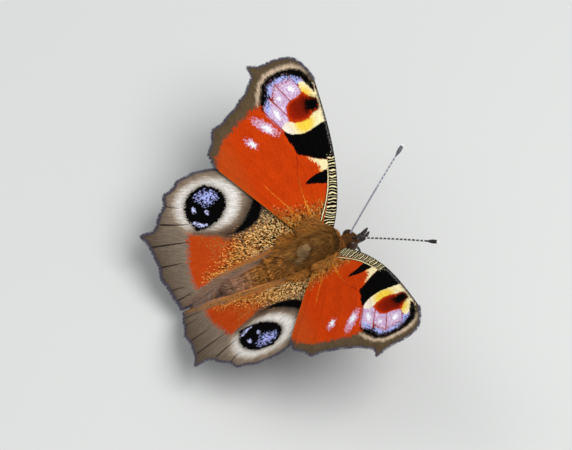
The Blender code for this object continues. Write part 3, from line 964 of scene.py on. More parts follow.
def forewing_ground(wing):
    """Red, lighter along the inner edge and towards the root, with a grey-brown border."""
    out, ahead, margin = wing.field["out"], wing.field["ahead"], wing.field["margin"]
    wing.colour = wing.mix(wing.broad, RED_DEEP, RED)
    wing.tinge(rising(INNER_RED_BEHIND - (ahead + out * INNER_RED_SLANT), 2.2) * 0.45, INNER_RED)
    wing.tinge(falling(wing.field["reach"], ORANGE_REACH) * 0.35, ORANGE)
    # the border is paler beside the eyespot, darker and streaked at its inner side
    border = wing.mix(wing.streak, BORDER_DARK, BORDER)
    border = wing.over(border, "beige", BEIGE, dither=0.3, soft=0.7, streaks=0.7)
    border = wing.mix(falling(margin, 1.5) * 0.6, border, BORDER_DARK)
    teeth = falling(wing.field["border"], 1.3) * (ahead < TEETH_BEHIND)
    border = wing.mix(teeth * 0.6, border, TEETH)
    wing.lay("border", border, dither=0.8, soft=0.3, streaks=2.4)
    wing.lay(least(wing.field["crescent"] + 0.45, out - BORDER_BESIDE), border, dither=0.3, soft=0.3)


def forewing_root(wing):
    """Gold at the root, with golden and dark red veins and with black and straw scales."""
    pepper, random = wing.field["pepper"], wing.cell[0]
    wing.lay("gold", GOLD, dither=1.8, soft=3.0, streaks=1.4)
    wing.lay(wing.strokes(FORE_GOLD_VEINS), GOLD_VEIN, dither=0.12)
    wing.lay(wing.strokes(FORE_DARK_VEINS), DARK_VEIN, dither=0.1)
    wing.tinge(random < pepper * 0.36, SOOT)
    wing.tinge(random > 1.0 - pepper * 0.16, STRAW)


def forewing_eyespot(wing):
    field, cell, out = wing.field, wing.cell, wing.field["out"]
    wing.lay("lilac", LILAC, dither=0.35, soft=0.15)
    wing.tinge((cell[2] > 0.6) * 0.7 * rising(field["lilac"], 0.3), LILAC_PALE)
    # black and dark red between the lilac and the crescent, with blue patches in it
    rim = least(field["lilac"], out - RIM_START)
    red_cells = least(field["crescent"] + 1.5, (0.42 - cell[1]) * 4.0)
    wing.lay(least(rim, red_cells), BLOOD, dither=0.4, soft=0.2)
    wing.lay(least(rim, field["crescent"] + 0.85), BLACK, dither=1.0, soft=0.2, streaks=0.6)
    wing.lay("blue", BLUE, dither=0.8, soft=0.2, shift=0.1)
    wing.tinge(wing.dark_cells(0.2), FORE_INK)
    wing.lay("white", WHITE, dither=0.3, soft=0.3)
    wing.lay(least(field["black"] + 0.25, out - BLACK_BESIDE), BLACK, dither=0.2)
    # the cream band, amber on the eyespot's inner side and pale at its lower end
    cream = wing.over(CREAM, "amber", AMBER, dither=0.4, soft=1.0, streaks=0.6)
    cream = wing.mix(rising(BAND_PALE_BELOW - field["ahead"], 1.6), cream, PALE)
    wing.lay("cream", cream, dither=0.35, soft=0.15, streaks=0.4)
    core = wing.over(BLOOD, "dark", MAROON, dither=0.6, soft=1.2)
    core = wing.mix(falling(field["core"], 0.45) * 0.6, core, RED)
    wing.lay("core", core, dither=0.7, soft=0.15, streaks=0.9)
    wing.lay("pupil", BLACK, dither=0.7, soft=0.7, streaks=0.6, shift=0.15)
    wing.lay(wing.strokes(FORE_VEINS), BLOOD, dither=0.08, soft=0.08)
    wing.lay("crescent", BLACK, dither=0.6, soft=0.2, streaks=0.4)


def forewing_patches(wing):
    """Black patches and the cream one between them, which turns orange below."""
    out, ahead = wing.field["out"] - PATCH_TURN[0], wing.field["ahead"]
    low = rising(PATCH_TURN[1] - (ahead + out * PATCH_SLANT), 0.9)
    wing.lay("cream_patch", wing.mix(low, CREAM, PATCH_ORANGE), dither=0.5, soft=0.3, streaks=0.9)
    wing.lay("black", BLACK, dither=0.18)


def forewing_strip(wing):
    """A dashed strip along the costal edge, from the bars to the tip."""
    out, edge = wing.field["out"], wing.field["edge"]
    beyond = least(out - STRIP_START[0], wing.field["margin"] - 0.7, wing.field["ahead"] - STRIP_START[1])
    depth = 0.5 - (out > STRIP_NARROWS) * 0.14
    wing.lay(least(beyond, depth - edge), BLACK, dither=0.15, soft=0.1)
    wave = wing.math("SINE", out * (2 * math.pi / DASH_STEP) + wing.streak * 14.0)
    dashes = least(beyond, 0.13 - abs(edge - 0.32), wave * 0.2)
    tone = wing.mix(out > DASHES_TURN_TAN, DASH_GREY, DASH_TAN)
    wing.lay(dashes, tone, dither=0.35, soft=0.1)


def forewing_bars(wing):
    """The barred costal edge, with a cream line between two black ones below it."""
    out, depth = wing.field["out"], abs(wing.field["line"])
    wave = (wing.broad - 0.5) * 1.3
    rung = (wing.field["rung"] + wing.streak * 0.12 + wave) * (2 * math.pi / RUNG_STEP)
    pairs = wing.math("SINE", rung * 0.5 + 1.0) * 1.3
    bar = wing.math("ADD", wing.math("SINE", rung) * 3.4 + pairs, -1.1, clamp=True)
    bars = wing.mix(falling(wing.field["edge"], 0.16), wing.mix(bar, BLACK, CREAM), COSTAL_RIM)
    ragged_end = BARS_END - out + wing.speckled * 1.2
    wing.lay(least(wing.field["ladder"], ragged_end), bars, dither=0.12, soft=0.1)
    wing.lay(least(0.22 - depth, LINE_END - out), LINE_BLACK, dither=0.1, soft=0.08)
    wing.lay(least(0.08 - depth, LINE_END - out), CREAM, dither=0.06, soft=0.06)


def forewing_material():
    wing = WingShader("forewing_upper", "forewing")
    forewing_ground(wing)
    forewing_root(wing)
    forewing_eyespot(wing)
    forewing_patches(wing)
    forewing_strip(wing)
    forewing_bars(wing)
    wing.lay("halo", HALO, dither=0.8, soft=0.2)
    wing.lay("spots", WHITE, dither=0.4, soft=0.2)
    # the edge is orange along the inner edge and dark elsewhere
    inner_line = (wing.field["margin"] > 0.9) * (wing.field["ahead"] < 0.0)
    wing.edge_lines(0.75, wing.mix(inner_line, EDGE_DARK, EDGE_ORANGE), 0.16, 0.18)
    return wing.done()


# The hindwing's upper side
HIND_GROUND = ((0.13, 0.096, 0.068), (0.28, 0.215, 0.16))
HIND_LOW = (0.074, 0.05, 0.03)
HIND_RED_TONES = ((0.42, 0.042, 0.004), (0.5, 0.062, 0.006))
RED_GOLD = (0.36, 0.15, 0.034)
RING_TONES = ((0.58, 0.53, 0.46), (0.88, 0.85, 0.8))
RING_RIM = (0.3, 0.22, 0.15)
FRONT_BROWN = (0.1, 0.06, 0.036)
SHADE_BROWN = (0.08, 0.045, 0.028)
EYE_RIM = (0.16, 0.115, 0.08)
HIND_INK = (0.03, 0.025, 0.06)
BLUE_PALE = (0.6, 0.62, 0.95)
PEPPER_TAN = ((0.84, 0.56, 0.22), (0.82, 0.36, 0.08))
PEPPER_BROWN = (0.36, 0.12, 0.02)
PEPPER_BLACK = (0.014, 0.008, 0.004)
GOLD_STREAK = (0.4, 0.14, 0.026)
FOLD_TONES = ((0.11, 0.065, 0.045), (0.27, 0.16, 0.1))
GOLDEN_TONES = ((0.26, 0.1, 0.022), (0.5, 0.21, 0.05))
GOLDEN_DARK = (0.08, 0.035, 0.015)
INNER_LOW = (0.1, 0.068, 0.048)
CORNER = (0.045, 0.036, 0.042)
HIND_LINE = (0.028, 0.018, 0.015)
# depths and places on it in millimetres
RING_RIM_DEPTH = 0.75
FRONT_DEPTH = -0.35
FRONT_WIDTH = 1.1
EYE_RIM_WIDTH = 0.85
ROOT_TAN_AHEAD = -3.0
CORNER_WIDTH = 0.42
CORNER_BEHIND = -15.6


def hindwing_ground(wing):
    """Grey-brown, darker towards the lower edge, with the red patch speckled with gold."""
    wing.colour = wing.mix(wing.streak, *HIND_GROUND)
    wing.tinge(wing.field["low"] * 0.75, HIND_LOW)
    wing.tinge(falling(wing.field["margin"], 1.6) * 0.3, BORDER_DARK)
    gold_cells = wing.cell[0] > 1.0 - wing.field["gold"] * 0.8
    red = wing.mix(gold_cells * 0.85, wing.mix(wing.broad, *HIND_RED_TONES), RED_GOLD)
    wing.lay("red", red, dither=0.9, soft=0.3, streaks=1.6)


def hindwing_eyespot(wing):
    field = wing.field
    wing.lay("ring", RING_RIM, soft=1.2, streaks=0.8, shift=0.1)
    wing.lay(field["ring"] - RING_RIM_DEPTH, wing.mix(wing.streak, *RING_TONES), soft=1.3, streaks=0.8)
    # a brown zone in front of the black crescent
    wing.tinge(falling(abs(field["crescent"] - FRONT_DEPTH), FRONT_WIDTH) * 0.85, FRONT_BROWN)
    wing.lay("crescent", BLACK, dither=0.3, soft=0.7)
    wing.lay(wing.strokes(HIND_SHADE), SHADE_BROWN, dither=0.3, soft=1.0)
    wing.tinge(falling(field["eye"] * -1.0, EYE_RIM_WIDTH) * 0.6, EYE_RIM)
    wing.lay("eye", BLACK, dither=0.45, soft=0.2, streaks=0.5)
    wing.lay("blue", BLUE, dither=1.3, shift=-0.2)
    wing.tinge(wing.dark_cells(0.32), HIND_INK)
    wing.lay("blue_spots", BLUE_PALE, dither=0.45)


def hindwing_root(wing):
    """Gold and black scales over the root, with the end of the crescent above them."""
    random = wing.cell[1]
    lower = rising(ROOT_TAN_AHEAD - wing.field["ahead"], 8.0)
    pepper = wing.mix(random > 0.62, PEPPER_BROWN, wing.mix(lower, *PEPPER_TAN))
    pepper = wing.mix(random < 0.42 - lower * 0.2, pepper, PEPPER_BLACK)
    wing.lay("pepper", pepper, dither=2.8, soft=0.3, streaks=1.8)
    wing.lay(wing.field["crescent"] - 0.3, BLACK, dither=0.5, soft=0.4, streaks=0.5)


def hindwing_inner_edge(wing):
    """The inner edge, grey-brown on the left and golden on the right, with a golden streak beside it."""
    left = wing.field["left"]
    wing.lay(wing.strokes(HIND_STREAK), GOLD_STREAK, dither=0.5, soft=0.5, streaks=0.5)
    golden = wing.mix(wing.cell[1] < 0.2, wing.mix(wing.streak, *GOLDEN_TONES), GOLDEN_DARK)
    inner = wing.mix(left, golden, wing.mix(wing.streak, *FOLD_TONES))
    inner = wing.mix(wing.field["low"], inner, INNER_LOW)
    wing.lay("inner", inner, dither=0.8, soft=0.8, streaks=0.8)
    corner = least(CORNER_WIDTH - wing.field["edge"], CORNER_BEHIND - wing.field["ahead"], left - 0.5)
    wing.lay(corner, CORNER, dither=0.2, soft=0.25)


def hindwing_material():
    wing = WingShader("hindwing_upper", "hindwing")
    hindwing_ground(wing)
    hindwing_eyespot(wing)
    hindwing_root(wing)
    hindwing_inner_edge(wing)
    wing.lay(wing.strokes(HIND_LINES), HIND_LINE, dither=0.06)
    wing.edge_lines(0.6, EDGE_DARK, 0.2, 0.2)
    return wing.done()


# The lower sides
UNDER_TONES = ((0.012, 0.009, 0.008), (0.06, 0.045, 0.036))
UNDER_PALE = (0.1, 0.078, 0.06)
UNDER_LINE = (0.01, 0.008, 0.008)


def underside_material(kind):
    """Blackish brown with fine wavy lines and a paler outer band."""
    wing = WingShader(kind + "_lower", kind)
    margin = wing.field["margin"]
    wave = wing.noise(wing.place(wing.field["reach"] * 3.2, wing.field["across"] * 0.7), 1.0, 3.0)
    wing.colour = wing.mix(wing.math("MULTIPLY", wave - 0.3, 2.2, clamp=True), *UNDER_TONES)
    wing.tinge(wing.math("ADD", (6.0 - margin) / 1.2, wing.streaked * 2.5, clamp=True) * 0.5, UNDER_PALE)
    wing.tinge(falling(abs(margin - 1.6), 0.3), UNDER_LINE)
    return wing.done()


def plain_material(name, roughness, specular, colour=None):
    """A material coloured by the tint of each point, or by one colour."""
    shader = Shader(name)
    return shader.finish(colour or shader.tint(), roughness, specular)


# Build the wings
WING_KINDS = ("forewing", "hindwing")
SIDES = (1, -1)
UPPER = {"forewing": forewing_material(), "hindwing": hindwing_material()}
LOWER = {kind: underside_material(kind) for kind in WING_KINDS}
WINGS = {
    (kind, side): wing_skin(kind, side, (UPPER[kind], LOWER[kind])) for kind in WING_KINDS for side in SIDES
}

# Body
BODY_SIDES = 64
BODY_STEP = 0.16
COAT_DEPTH = {"head": 0.22, "thorax": 0.42, "abdomen": 0.2}
# sections: place along the body, height of the middle, half width, half height
HEAD_SECTIONS = (
    (-6.7, -1.05, 0.3, 0.4), (-6.4, -1.02, 0.78, 0.98), (-5.55, -0.95, 1.0, 1.25), (-4.75, -0.9, 1.0, 1.2),
    (-4.3, -0.85, 0.95, 1.1),
)
THORAX_SECTIONS = (
    (-3.65, -0.9, 1.6, 1.8), (-2.8, -0.6, 2.0, 2.4), (-1.4, -0.4, 2.2, 2.75), (1.0, -0.4, 2.2, 2.8),
    (3.0, -0.75, 2.0, 2.55), (4.6, -1.15, 1.8, 2.1),
)
ABDOMEN_START = 5.75
ABDOMEN_END = 17.0
ABDOMEN_HEIGHTS = (-1.4, -4.0)
ABDOMEN_HALF_WIDTH = 1.7
ABDOMEN_HALF_HEIGHT = 1.75
ABDOMEN_WIDEST = 0.28
ABDOMEN_SEGMENTS = 8
SEGMENT_GROOVE = 0.08
CAP_RADIUS = 0.004
CAP_MARGIN = 0.005


def curve_through(places, values, at):
    """Smooth values between given ones, without overshoot."""
    step = np.diff(places)
    slope = np.diff(values) / step
    product, total = slope[1:] * slope[:-1], slope[1:] + slope[:-1]
    middle = np.where(product > 0, 2 * product / np.where(total == 0, 1, total), 0)
    tangent = np.concatenate([[slope[0]], middle, [slope[-1]]])
    n = np.clip(np.searchsorted(places, at) - 1, 0, len(step) - 1)
    t = np.clip((at - places[n]) / step[n], 0, 1)
    return (
        (2 * t**3 - 3 * t**2 + 1) * values[n] + (t**3 - 2 * t**2 + t) * step[n] * tangent[n]
        + (3 * t**2 - 2 * t**3) * values[n + 1] + (t**3 - t**2) * step[n] * tangent[n + 1]
    )


def body_sections():
    """The sections of the skin, which lies inside the solid model by the depth of the coat."""
    rows = []
    for name, sections in (("head", HEAD_SECTIONS), ("thorax", THORAX_SECTIONS)):
        depth = COAT_DEPTH[name]
        for place, centre, wide, high in sections:
            rows.append((place, centre, max(0.12, wide - depth), max(0.15, high - depth)))
    depth = COAT_DEPTH["abdomen"]
    for share in np.linspace(0.02, 1.0, 16):
        place = ABDOMEN_START + (ABDOMEN_END - ABDOMEN_START) * share
        centre = ABDOMEN_HEIGHTS[0] + (ABDOMEN_HEIGHTS[1] - ABDOMEN_HEIGHTS[0]) * share
        taper = abs((share - ABDOMEN_WIDEST) / (1 - ABDOMEN_WIDEST)) ** 2.6
        full = 0.2 + 0.8 * math.sqrt(max(0.0, 1.0 - taper))
        rows.append((place, centre, ABDOMEN_HALF_WIDTH * full - depth, ABDOMEN_HALF_HEIGHT * full - depth))
    return np.array(rows)


def body_surface():
    """One surface from the face to the tail."""
    sections = body_sections()
    first, last = sections[0, 0], sections[-1, 0]
    along = np.linspace(first, last, round((last - first) / BODY_STEP))
    centre, wide, high = (curve_through(sections[:, 0], sections[:, n], along)[:, None] for n in (1, 2, 3))
    along = along[:, None]
    share = grade(along - ABDOMEN_START, ABDOMEN_END - ABDOMEN_START)
    wave = np.cos(share * ABDOMEN_SEGMENTS * 2 * math.pi) * 0.5 + 0.5
    groove = SEGMENT_GROOVE * wave**3 * (share > 0)
    turn = full_turn(BODY_SIDES)
    x, z = np.sin(turn) * (wide - groove), centre + np.cos(turn) * (high - groove)
    u, v = 0.01 + 0.98 * (along - first) / (last - first), 0.01 + 0.5 * turn / (2 * math.pi)
    return outward(grid(x, along, z), grid(u, v))


def outward(points, bake):
    """A tube-like surface with its normals turned away from its middle line."""
    surface = Surface(points, {}, bake)
    middle = points[:, :-1].mean(1, keepdims=True)
    surface.normal *= np.sign(((points - middle) * surface.normal).sum(-1).mean())
    return surface


def route_through(points, values, steps):
    """Points on a smooth curve through the given ones, with values between theirs."""
    points, last = np.array(points, float), len(points) - 1
    at = np.arange(last * steps + 1) / steps
    n = np.minimum(at.astype(int), last - 1)
    around = (points[np.clip(n + step, 0, last)] for step in (-1, 0, 1, 2))
    return curve(*around, (at - n)[:, None]), np.interp(at, np.arange(len(points)), values)


def tube_surface(line, radii, sides, bake):
    """A round surface along a line, rows along it and columns round it, on one rectangle of the map."""
    along = unit(np.gradient(line, axis=0))
    start = np.cross(along[0], (0.0, 0.0, 1.0))
    across = [unit(start)]
    for direction in along[1:]:
        across.append(unit(across[-1] - direction * (across[-1] @ direction)))
    across = np.array(across)
    turn = full_turn(sides)
    c, s = np.cos(turn)[None, :, None], np.sin(turn)[None, :, None]
    ring = c * across[:, None] + s * np.cross(along, across)[:, None]
    points = line[:, None] + ring * radii[:, None, None]
    left, low, wide, high = bake
    rows = np.linspace(0, 1, len(line))[:, None]
    return outward(points, grid(left + wide * rows, low + high * turn / (2 * math.pi)))


def tube_mesh(surfaces):
    """Points, faces and map of closed tubes from their surfaces."""
    points, corners, counts, uv = [], [], [], []
    offset = 0
    for surface in surfaces:
        rows, columns = surface.points.shape[:2]
        sides = columns - 1
        rounds = surface.points[:, :-1]
        points += [rounds.reshape(-1, 3), rounds[0].mean(0)[None], rounds[-1].mean(0)[None]]
        first, aside, beyond = surface.points[0, 0], surface.points[0, 1], surface.points[1, 0]
        flip = np.cross(aside - first, beyond - first) @ surface.normal[0, 0] < 0
        # the map's grid has one more column than the tube, whose last side meets its first
        faces = grid_faces(rows, columns, flip=flip)
        down, around = np.divmod(faces, columns)
        bake = surface.bake.reshape(-1, 2)
        corners.append((down * sides + around % sides).ravel() + offset)
        counts.append(np.full(len(faces), 4))
        uv.append(bake[faces].reshape(-1, 2))
        turn = full_turn(sides)
        fan = CAP_RADIUS * grid(np.cos(turn), np.sin(turn))
        for row, middle, turned in ((0, rows * sides, flip), (rows - 1, rows * sides + 1, not flip)):
            ring = np.arange(sides) + row * sides
            order = 1 if turned else -1
            pair = (ring, np.roll(ring, -1))[::order]
            corners.append(np.stack([np.full(sides, middle), *pair], -1).ravel() + offset)
            counts.append(np.full(sides, 3))
            pair = (fan[:-1], fan[1:])[::order]
            cap = np.stack([np.zeros((sides, 2)), *pair], 1)
            uv.append((cap + bake[row * columns] + CAP_MARGIN).reshape(-1, 2))
        offset += rows * sides + 2
    return np.concatenate(points), np.concatenate(corners), np.concatenate(counts), np.concatenate(uv)


def tube_piece(name, slot, material, surfaces, tints, nodes):
    """A piece of closed tubes. tints holds one colour for each surface, or for each of its points."""
    points, corners, counts, uv = tube_mesh(surfaces)
    made = mesh_object(name, points, corners, counts, [material])
    give_map(made, np.clip(uv, 0, 1))
    full = []
    for surface, tint in zip(surfaces, tints):
        rounds = np.broadcast_to(tint, surface.points.shape)[:, :-1]
        full += [rounds.reshape(-1, 3), rounds[0].mean(0)[None], rounds[-1].mean(0)[None]]
    give_tint(made, np.concatenate(full))
    declare(made, slot, *nodes)


# The coat of the body
OLIVE = (0.19, 0.085, 0.016)
BROWN = (0.37, 0.16, 0.032)
TAWNY = (0.62, 0.23, 0.034)
UMBER = (0.035, 0.017, 0.007)
DUSK = (0.2, 0.11, 0.07)
HEAD_TONE = (0.3, 0.12, 0.03)
ROSE = (0.66, 0.42, 0.33)
COLLAR = (0.42, 0.13, 0.016)
PATCH = (0.4, 0.25, 0.115)
# painted shade: the shadow round the pale patch and in the groove behind the collar
PAINTED_SHADE = (0.0, 0.0, 0.0)
# places along the body where tones start or lie, in millimetres to the back
HEAD_END = -4.15
COLLAR_PLACE = -3.7
GROOVE_PLACE = -3.2
ABDOMEN_TONE_START = 5.3
TAIL_TONE_START = 11.5
UNDERSIDE_LEVEL = -3.2
PATCH_PLACE = (-0.55, 2.9)
PATCH_RADII = (1.05, 1.2)
SHORT_PILE_PLACE = (-0.45, 2.3)
SHORT_PILE_RADII = (1.5, 2.1)
SHORT_PILE = 0.55


def from_place(points, place, radii):
    """Distance over the back from the middle of an oval, one at its rim."""
    return np.hypot((points[..., 0] - place[0]) / radii[0], (points[..., 1] - place[1]) / radii[1])


def body_tone(points, random):
    """The coat's colour at places on the body, with a random number for each, and with painted shade and
    light in it.
    """
    x, y, z = np.moveaxis(points, -1, 0)
    tone = mixed(OLIVE, BROWN, random)
    tone = mixed(tone, mixed(TAWNY, BROWN, random), grade(-0.6 - z, 1.2))
    tone = mixed(tone, mixed(BROWN, TAWNY, random), 0.6 * grade(np.abs(x) - 1.2, 0.8) * (y < 5.5))
    tone = mixed(tone, COLLAR, 0.8 * hump(y - COLLAR_PLACE, 0.4))
    # the pale patch on the back, with a painted shadow round it that is strongest on the right and in front
    reach, above = from_place(points, PATCH_PLACE, PATCH_RADII), z > -0.4
    tone = mixed(tone, PATCH, 0.85 * np.clip((1.05 - reach) * 6, 0, 1) * above)
    strength = np.clip(0.55 - 0.45 * (x + 0.65) - 0.3 * (y - 2.9), 0.1, 1)
    tone = mixed(tone, PAINTED_SHADE, 0.65 * hump(reach - 1.22, 0.13) * above * strength)
    # painted light: the left half of the back is painted lighter and the right half darker, as the light
    # falls on it
    tone = tone * (1 + 0.3 * np.clip(x / 1.3, -1, 1) * (z > -0.6) * (y < 5.0))[..., None]
    # painted shade along the groove behind the collar
    tone = mixed(tone, PAINTED_SHADE, 0.7 * hump(y - GROOVE_PLACE - 0.35 * np.abs(x), 0.14) * (z > 0.2))
    tone = mixed(tone, mixed(UMBER, HEAD_TONE, random**0.6), grade(HEAD_END - y, 0.3))
    # the abdomen, speckled with dark and straw, rosy at the tail and dusky below
    speckled = mixed(BROWN, TAWNY, random * 1.1)
    speckled[random < 0.24] = UMBER
    speckled[random > 0.93] = STRAW
    speckled = mixed(speckled, mixed(DUSK, ROSE, random), 0.75 * grade(y - TAIL_TONE_START, 4.5))
    speckled = mixed(speckled, DUSK, 0.6 * grade(UNDERSIDE_LEVEL - z, 1.0))
    return mixed(tone, speckled, grade(y - ABDOMEN_TONE_START, 0.7))


def paint(made, tint, low, high):
    """Gives the blades their colour, with tips lighter or darker by a random factor between two."""
    made["tint"] = tint
    made["tip"] = tint * spread(low, high, len(tint))[:, None]
    return made


body = body_surface()
hair_material = plain_material("body_hair", 0.75, 0.2)
skin_material = plain_material("body_skin", 0.8, 0.15)
dull_material = plain_material("horn", 0.45, 0.4)
body_tint = body_tone(body.points, np.full(body.points.shape[:2], 0.45)) * 0.5
tube_piece("body_skin", "body_hair", skin_material, [body], [body_tint], ("thorax", "abdomen", "head"))


def body_group(count, low, high, lengths, width, lift, droop, turn, lean, above=-99.0, below=99.0):
    """Blades on the body between two places along it and two heights, lying to the back and outwards."""
    y, z = body.points[..., 1], body.points[..., 2]
    count = amount(count)
    row, column = body.scatter(count, ((y >= low) & (y <= high) & (z > above) & (z < below)).astype(float))
    at = body.at(body.points, row, column)
    direction = grid(np.sign(at[:, 0]) * lean, 1.0, 0.0)
    made = group(body, row, column, spread(*lengths, count), spread(width * 0.7, width * 1.3, count), lift,
                 droop, sweep=RANDOM.normal(0, 0.12, count), turn=turn, lie=direction)
    random = RANDOM.random(count)
    # short pile on the pale patch and in front of it
    short = (from_place(at, SHORT_PILE_PLACE, SHORT_PILE_RADII) < 1) & (at[:, 2] > 0.2)
    made["length"] = np.where(short, np.minimum(made["length"], SHORT_PILE), made["length"])
    return paint(made, body_tone(at, random) * (0.45 + 0.8 * RANDOM.random(count) ** 1.2)[:, None], 0.9, 1.9)


def body_coat(name, slot, *groups):
    tufts(name, slot, hair_material, [body_group(*each) for each in groups])


# each group: count, first and last place, lengths, width, lift, droop, spread and lean, then its heights
body_coat("thorax_hair", "body_hair", (11500, -3.9, 5.2, (1.2, 2.1), 0.085, 0.42, 0.3, 0.22, 0.35))
body_coat("thorax_underfur", "body_hair", (5000, -4.0, 5.5, (0.6, 1.0), 0.09, 0.5, 0.35, 0.4, 0.2))
# long hair on the flanks, shoulders and hips lies over the roots of the wings
body_coat(
    "flank_hair", "body_hair",
    (5500, -3.2, 6.6, (1.7, 2.7), 0.1, 0.95, 0.45, 0.25, 0.2, -1.0, 1.5),
    (2200, -3.8, -1.4, (1.1, 1.8), 0.1, 0.95, 0.5, 0.3, 0.9, 0.0, 1.7),
    (3800, 2.0, 8.8, (1.3, 2.1), 0.1, 0.85, 0.45, 0.3, 0.3, -2.6, -0.4),
)
# the abdomen's short hair, and longer hair at the tail
body_coat(
    "abdomen_hair", "body_hair",
    (8500, 5.0, 17.0, (0.7, 1.25), 0.085, 0.42, 0.3, 0.25, 0.15),
    (1900, 14.8, 17.0, (1.3, 2.6), 0.095, 0.45, 0.2, 0.3, 0.1),
)
body_coat("head_hair", "head_hair", (5500, -6.7, -3.95, (0.45, 0.9), 0.06, 0.85, 0.35, 0.5, 0.15))

# Hair along the inner edge of each hindwing, which fills the space beside the abdomen
EDGE_TONES = ((0.2, 0.125, 0.09), (0.33, 0.215, 0.16), (0.72, 0.26, 0.05))
EDGE_SHADE = {1: (1.0, 0.75, 0.8, 0.45), -1: (1.0, 1.0, 0.9, 0.5)}
EDGE_GOLDEN = {1: (0.9, 0.45, 0.1, 0.02), -1: (1.0, 0.95, 0.7, 0.05)}
EDGE_COUNT = 4200
EDGE_LENGTHS = (1.3, 1.5, 1.6, 2.4, 1.7, 0.5)
EDGE_DIVE = (-0.55, -0.5, -0.4, -0.25, 0.0)


def inner_edge_hair(side):
    surface = WINGS["hindwing", side][0]
    rows, columns = surface.points.shape[:2]
    count = amount(EDGE_COUNT)
    share = 0.9 * RANDOM.random(count) ** 0.9
    row = share * (rows - 2)
    column = columns - 1.001 - RANDOM.random(count) ** 2 * 5
    length = spread(0.75, 1.0, count) * np.interp(share, (0, 0.15, 0.5, 0.7, 0.82, 1.0), EDGE_LENGTHS)
    inward = np.array((-side, 0.0, 0.0)) * spread(0.35, 1.3, count)[:, None]
    inward = unit(surface.at(surface.lie, row, column)) + inward
    dive = np.interp(share, (0, 0.5, 0.62, 0.8, 1), EDGE_DIVE)
    made = group(surface, row, column, length, spread(0.08, 0.14, count), dive + spread(-0.12, 0.12, count),
                 0.1, sweep=RANDOM.normal(0, 0.08, count), turn=0.12, lie=inward, sink=0.0)
    tone = mixed(EDGE_TONES[0], EDGE_TONES[1], RANDOM.random(count))
    golden = 0.85 * (RANDOM.random(count) < np.interp(share, (0, 0.35, 0.6, 0.8), EDGE_GOLDEN[side]))
    tone = mixed(tone, EDGE_TONES[2], golden)
    return paint(made, tone * np.interp(share, (0.3, 0.5, 0.75, 0.9), EDGE_SHADE[side])[:, None], 0.9, 1.5)


tufts("inner_edge_hair", "body_hair", hair_material, [inner_edge_hair(side) for side in SIDES])

ROOT_HAIR_COUNT = 1300
ROOT_HAIR_REACH = {"forewing": 2.9, "hindwing": 2.3}
ROOT_HAIR_LENGTH = {"forewing": (0.9, 1.7), "hindwing": (1.3, 2.6)}


def root_hair(kind, side):
    """Long hair over the root of a wing, lying outwards and to the back."""
    surface = WINGS[kind, side][0]
    count = amount(ROOT_HAIR_COUNT)
    row, column = surface.scatter(count, grade(ROOT_HAIR_REACH[kind] - surface.fields["reach"], 0.6))
    direction = grid(side * spread(0.2, 0.9, count), spread(0.5, 1.0, count), 0.0)
    made = group(surface, row, column, spread(*ROOT_HAIR_LENGTH[kind], count), spread(0.07, 0.12, count),
                 spread(0.2, 0.5, count), 0.3, sweep=RANDOM.normal(0, 0.2, count), turn=0.3, lie=direction)
    tone = mixed(BROWN, TAWNY, RANDOM.random(count)) * (0.3 + 0.9 * RANDOM.random(count) ** 1.3)[:, None]
    return paint(made, tone, 0.9, 1.9)


tufts("root_hair", "body_hair", hair_material, [root_hair(*wing) for wing in WINGS])

# Raised scales where the wings are peppered with gold and black, and the fringe of the margins
SCALE_COUNT = {"forewing": 4000, "hindwing": 6000}
SCALE_LENGTH = (0.15, 0.28)
SCALE_WIDTH = (0.06, 0.1)
FRINGE_STEP = 0.055
FRINGE_LENGTH = (0.24, 0.42)
FRINGE_DARK = (0.05, 0.044, 0.062)
FRINGE_PALE = (0.34, 0.32, 0.4)
FRINGE_PALE_SHARE = 0.45


def raised_scales(kind, side):
    surface = WINGS[kind, side][0]
    fields = surface.fields
    if kind == "forewing":
        weight = np.clip(fields["gold"] / 3.4 + 0.45, 0, 1) * grade(-fields["line"], 0.3)
    else:
        weight = np.clip(fields["pepper"] / 2.4 + 0.4, 0, 1) * np.clip(-fields["inner"] / 0.5, 0.15, 1)
    count = amount(SCALE_COUNT[kind])
    row, column = surface.scatter(count, weight * (fields["along"] > 0.03))
    made = group(surface, row, column, spread(*SCALE_LENGTH, count), spread(*SCALE_WIDTH, count), 0.24, 0.08,
                 turn=0.3, flat=0.35, sink=0.02)
    made["fields"] = {name: surface.at(value, row, column) for name, value in fields.items()}
    return made


def fringe(kind, side):
    """Short blades all along the outer margin, dark at their root and many of them pale at their tip."""
    surface = WINGS[kind, side][0]
    rows, columns = surface.points.shape[:2]
    edge = surface.points[-1]
    walk = np.concatenate([[0], np.cumsum(np.linalg.norm(np.diff(edge, axis=0), axis=1))])
    count = amount(int(walk[-1] / FRINGE_STEP))
    column = np.interp(np.sort(RANDOM.random(count)) * walk[-1], walk, np.arange(columns)) * 0.9999
    row = np.full(count, rows - 1.001)
    # across the outline's own direction, turned to point away from the wing
    outwards = np.cross(unit(np.gradient(edge, axis=0)), surface.normal[-1])
    middle = surface.points[rows // 2, columns // 2]
    outwards = outwards * np.sign((outwards * (edge - middle)).sum(-1).mean())
    direction = surface.at(np.repeat(outwards[None], 2, 0), np.zeros(count), column)
    made = group(surface, row, column, spread(*FRINGE_LENGTH, count), spread(0.08, 0.13, count),
                 spread(-0.12, 0.12, count), 0.1, turn=0.25, flat=0.3, lie=direction, sink=0.05)
    pale = (RANDOM.random(count) < FRINGE_PALE_SHARE)[:, None]
    made["tint"] = np.array(FRINGE_DARK) * spread(0.7, 1.3, count)[:, None]
    made["tip"] = np.where(pale, FRINGE_PALE, np.array(FRINGE_DARK) * 2.0) * spread(0.8, 1.1, count)[:, None]
    return made


for kind in WING_KINDS:
    tufts(kind + "_scales", "wing_upper", UPPER[kind], [raised_scales(kind, side) for side in SIDES])
tufts("wing_fringe", "wing_upper", hair_material, [fringe(*wing) for wing in WINGS])

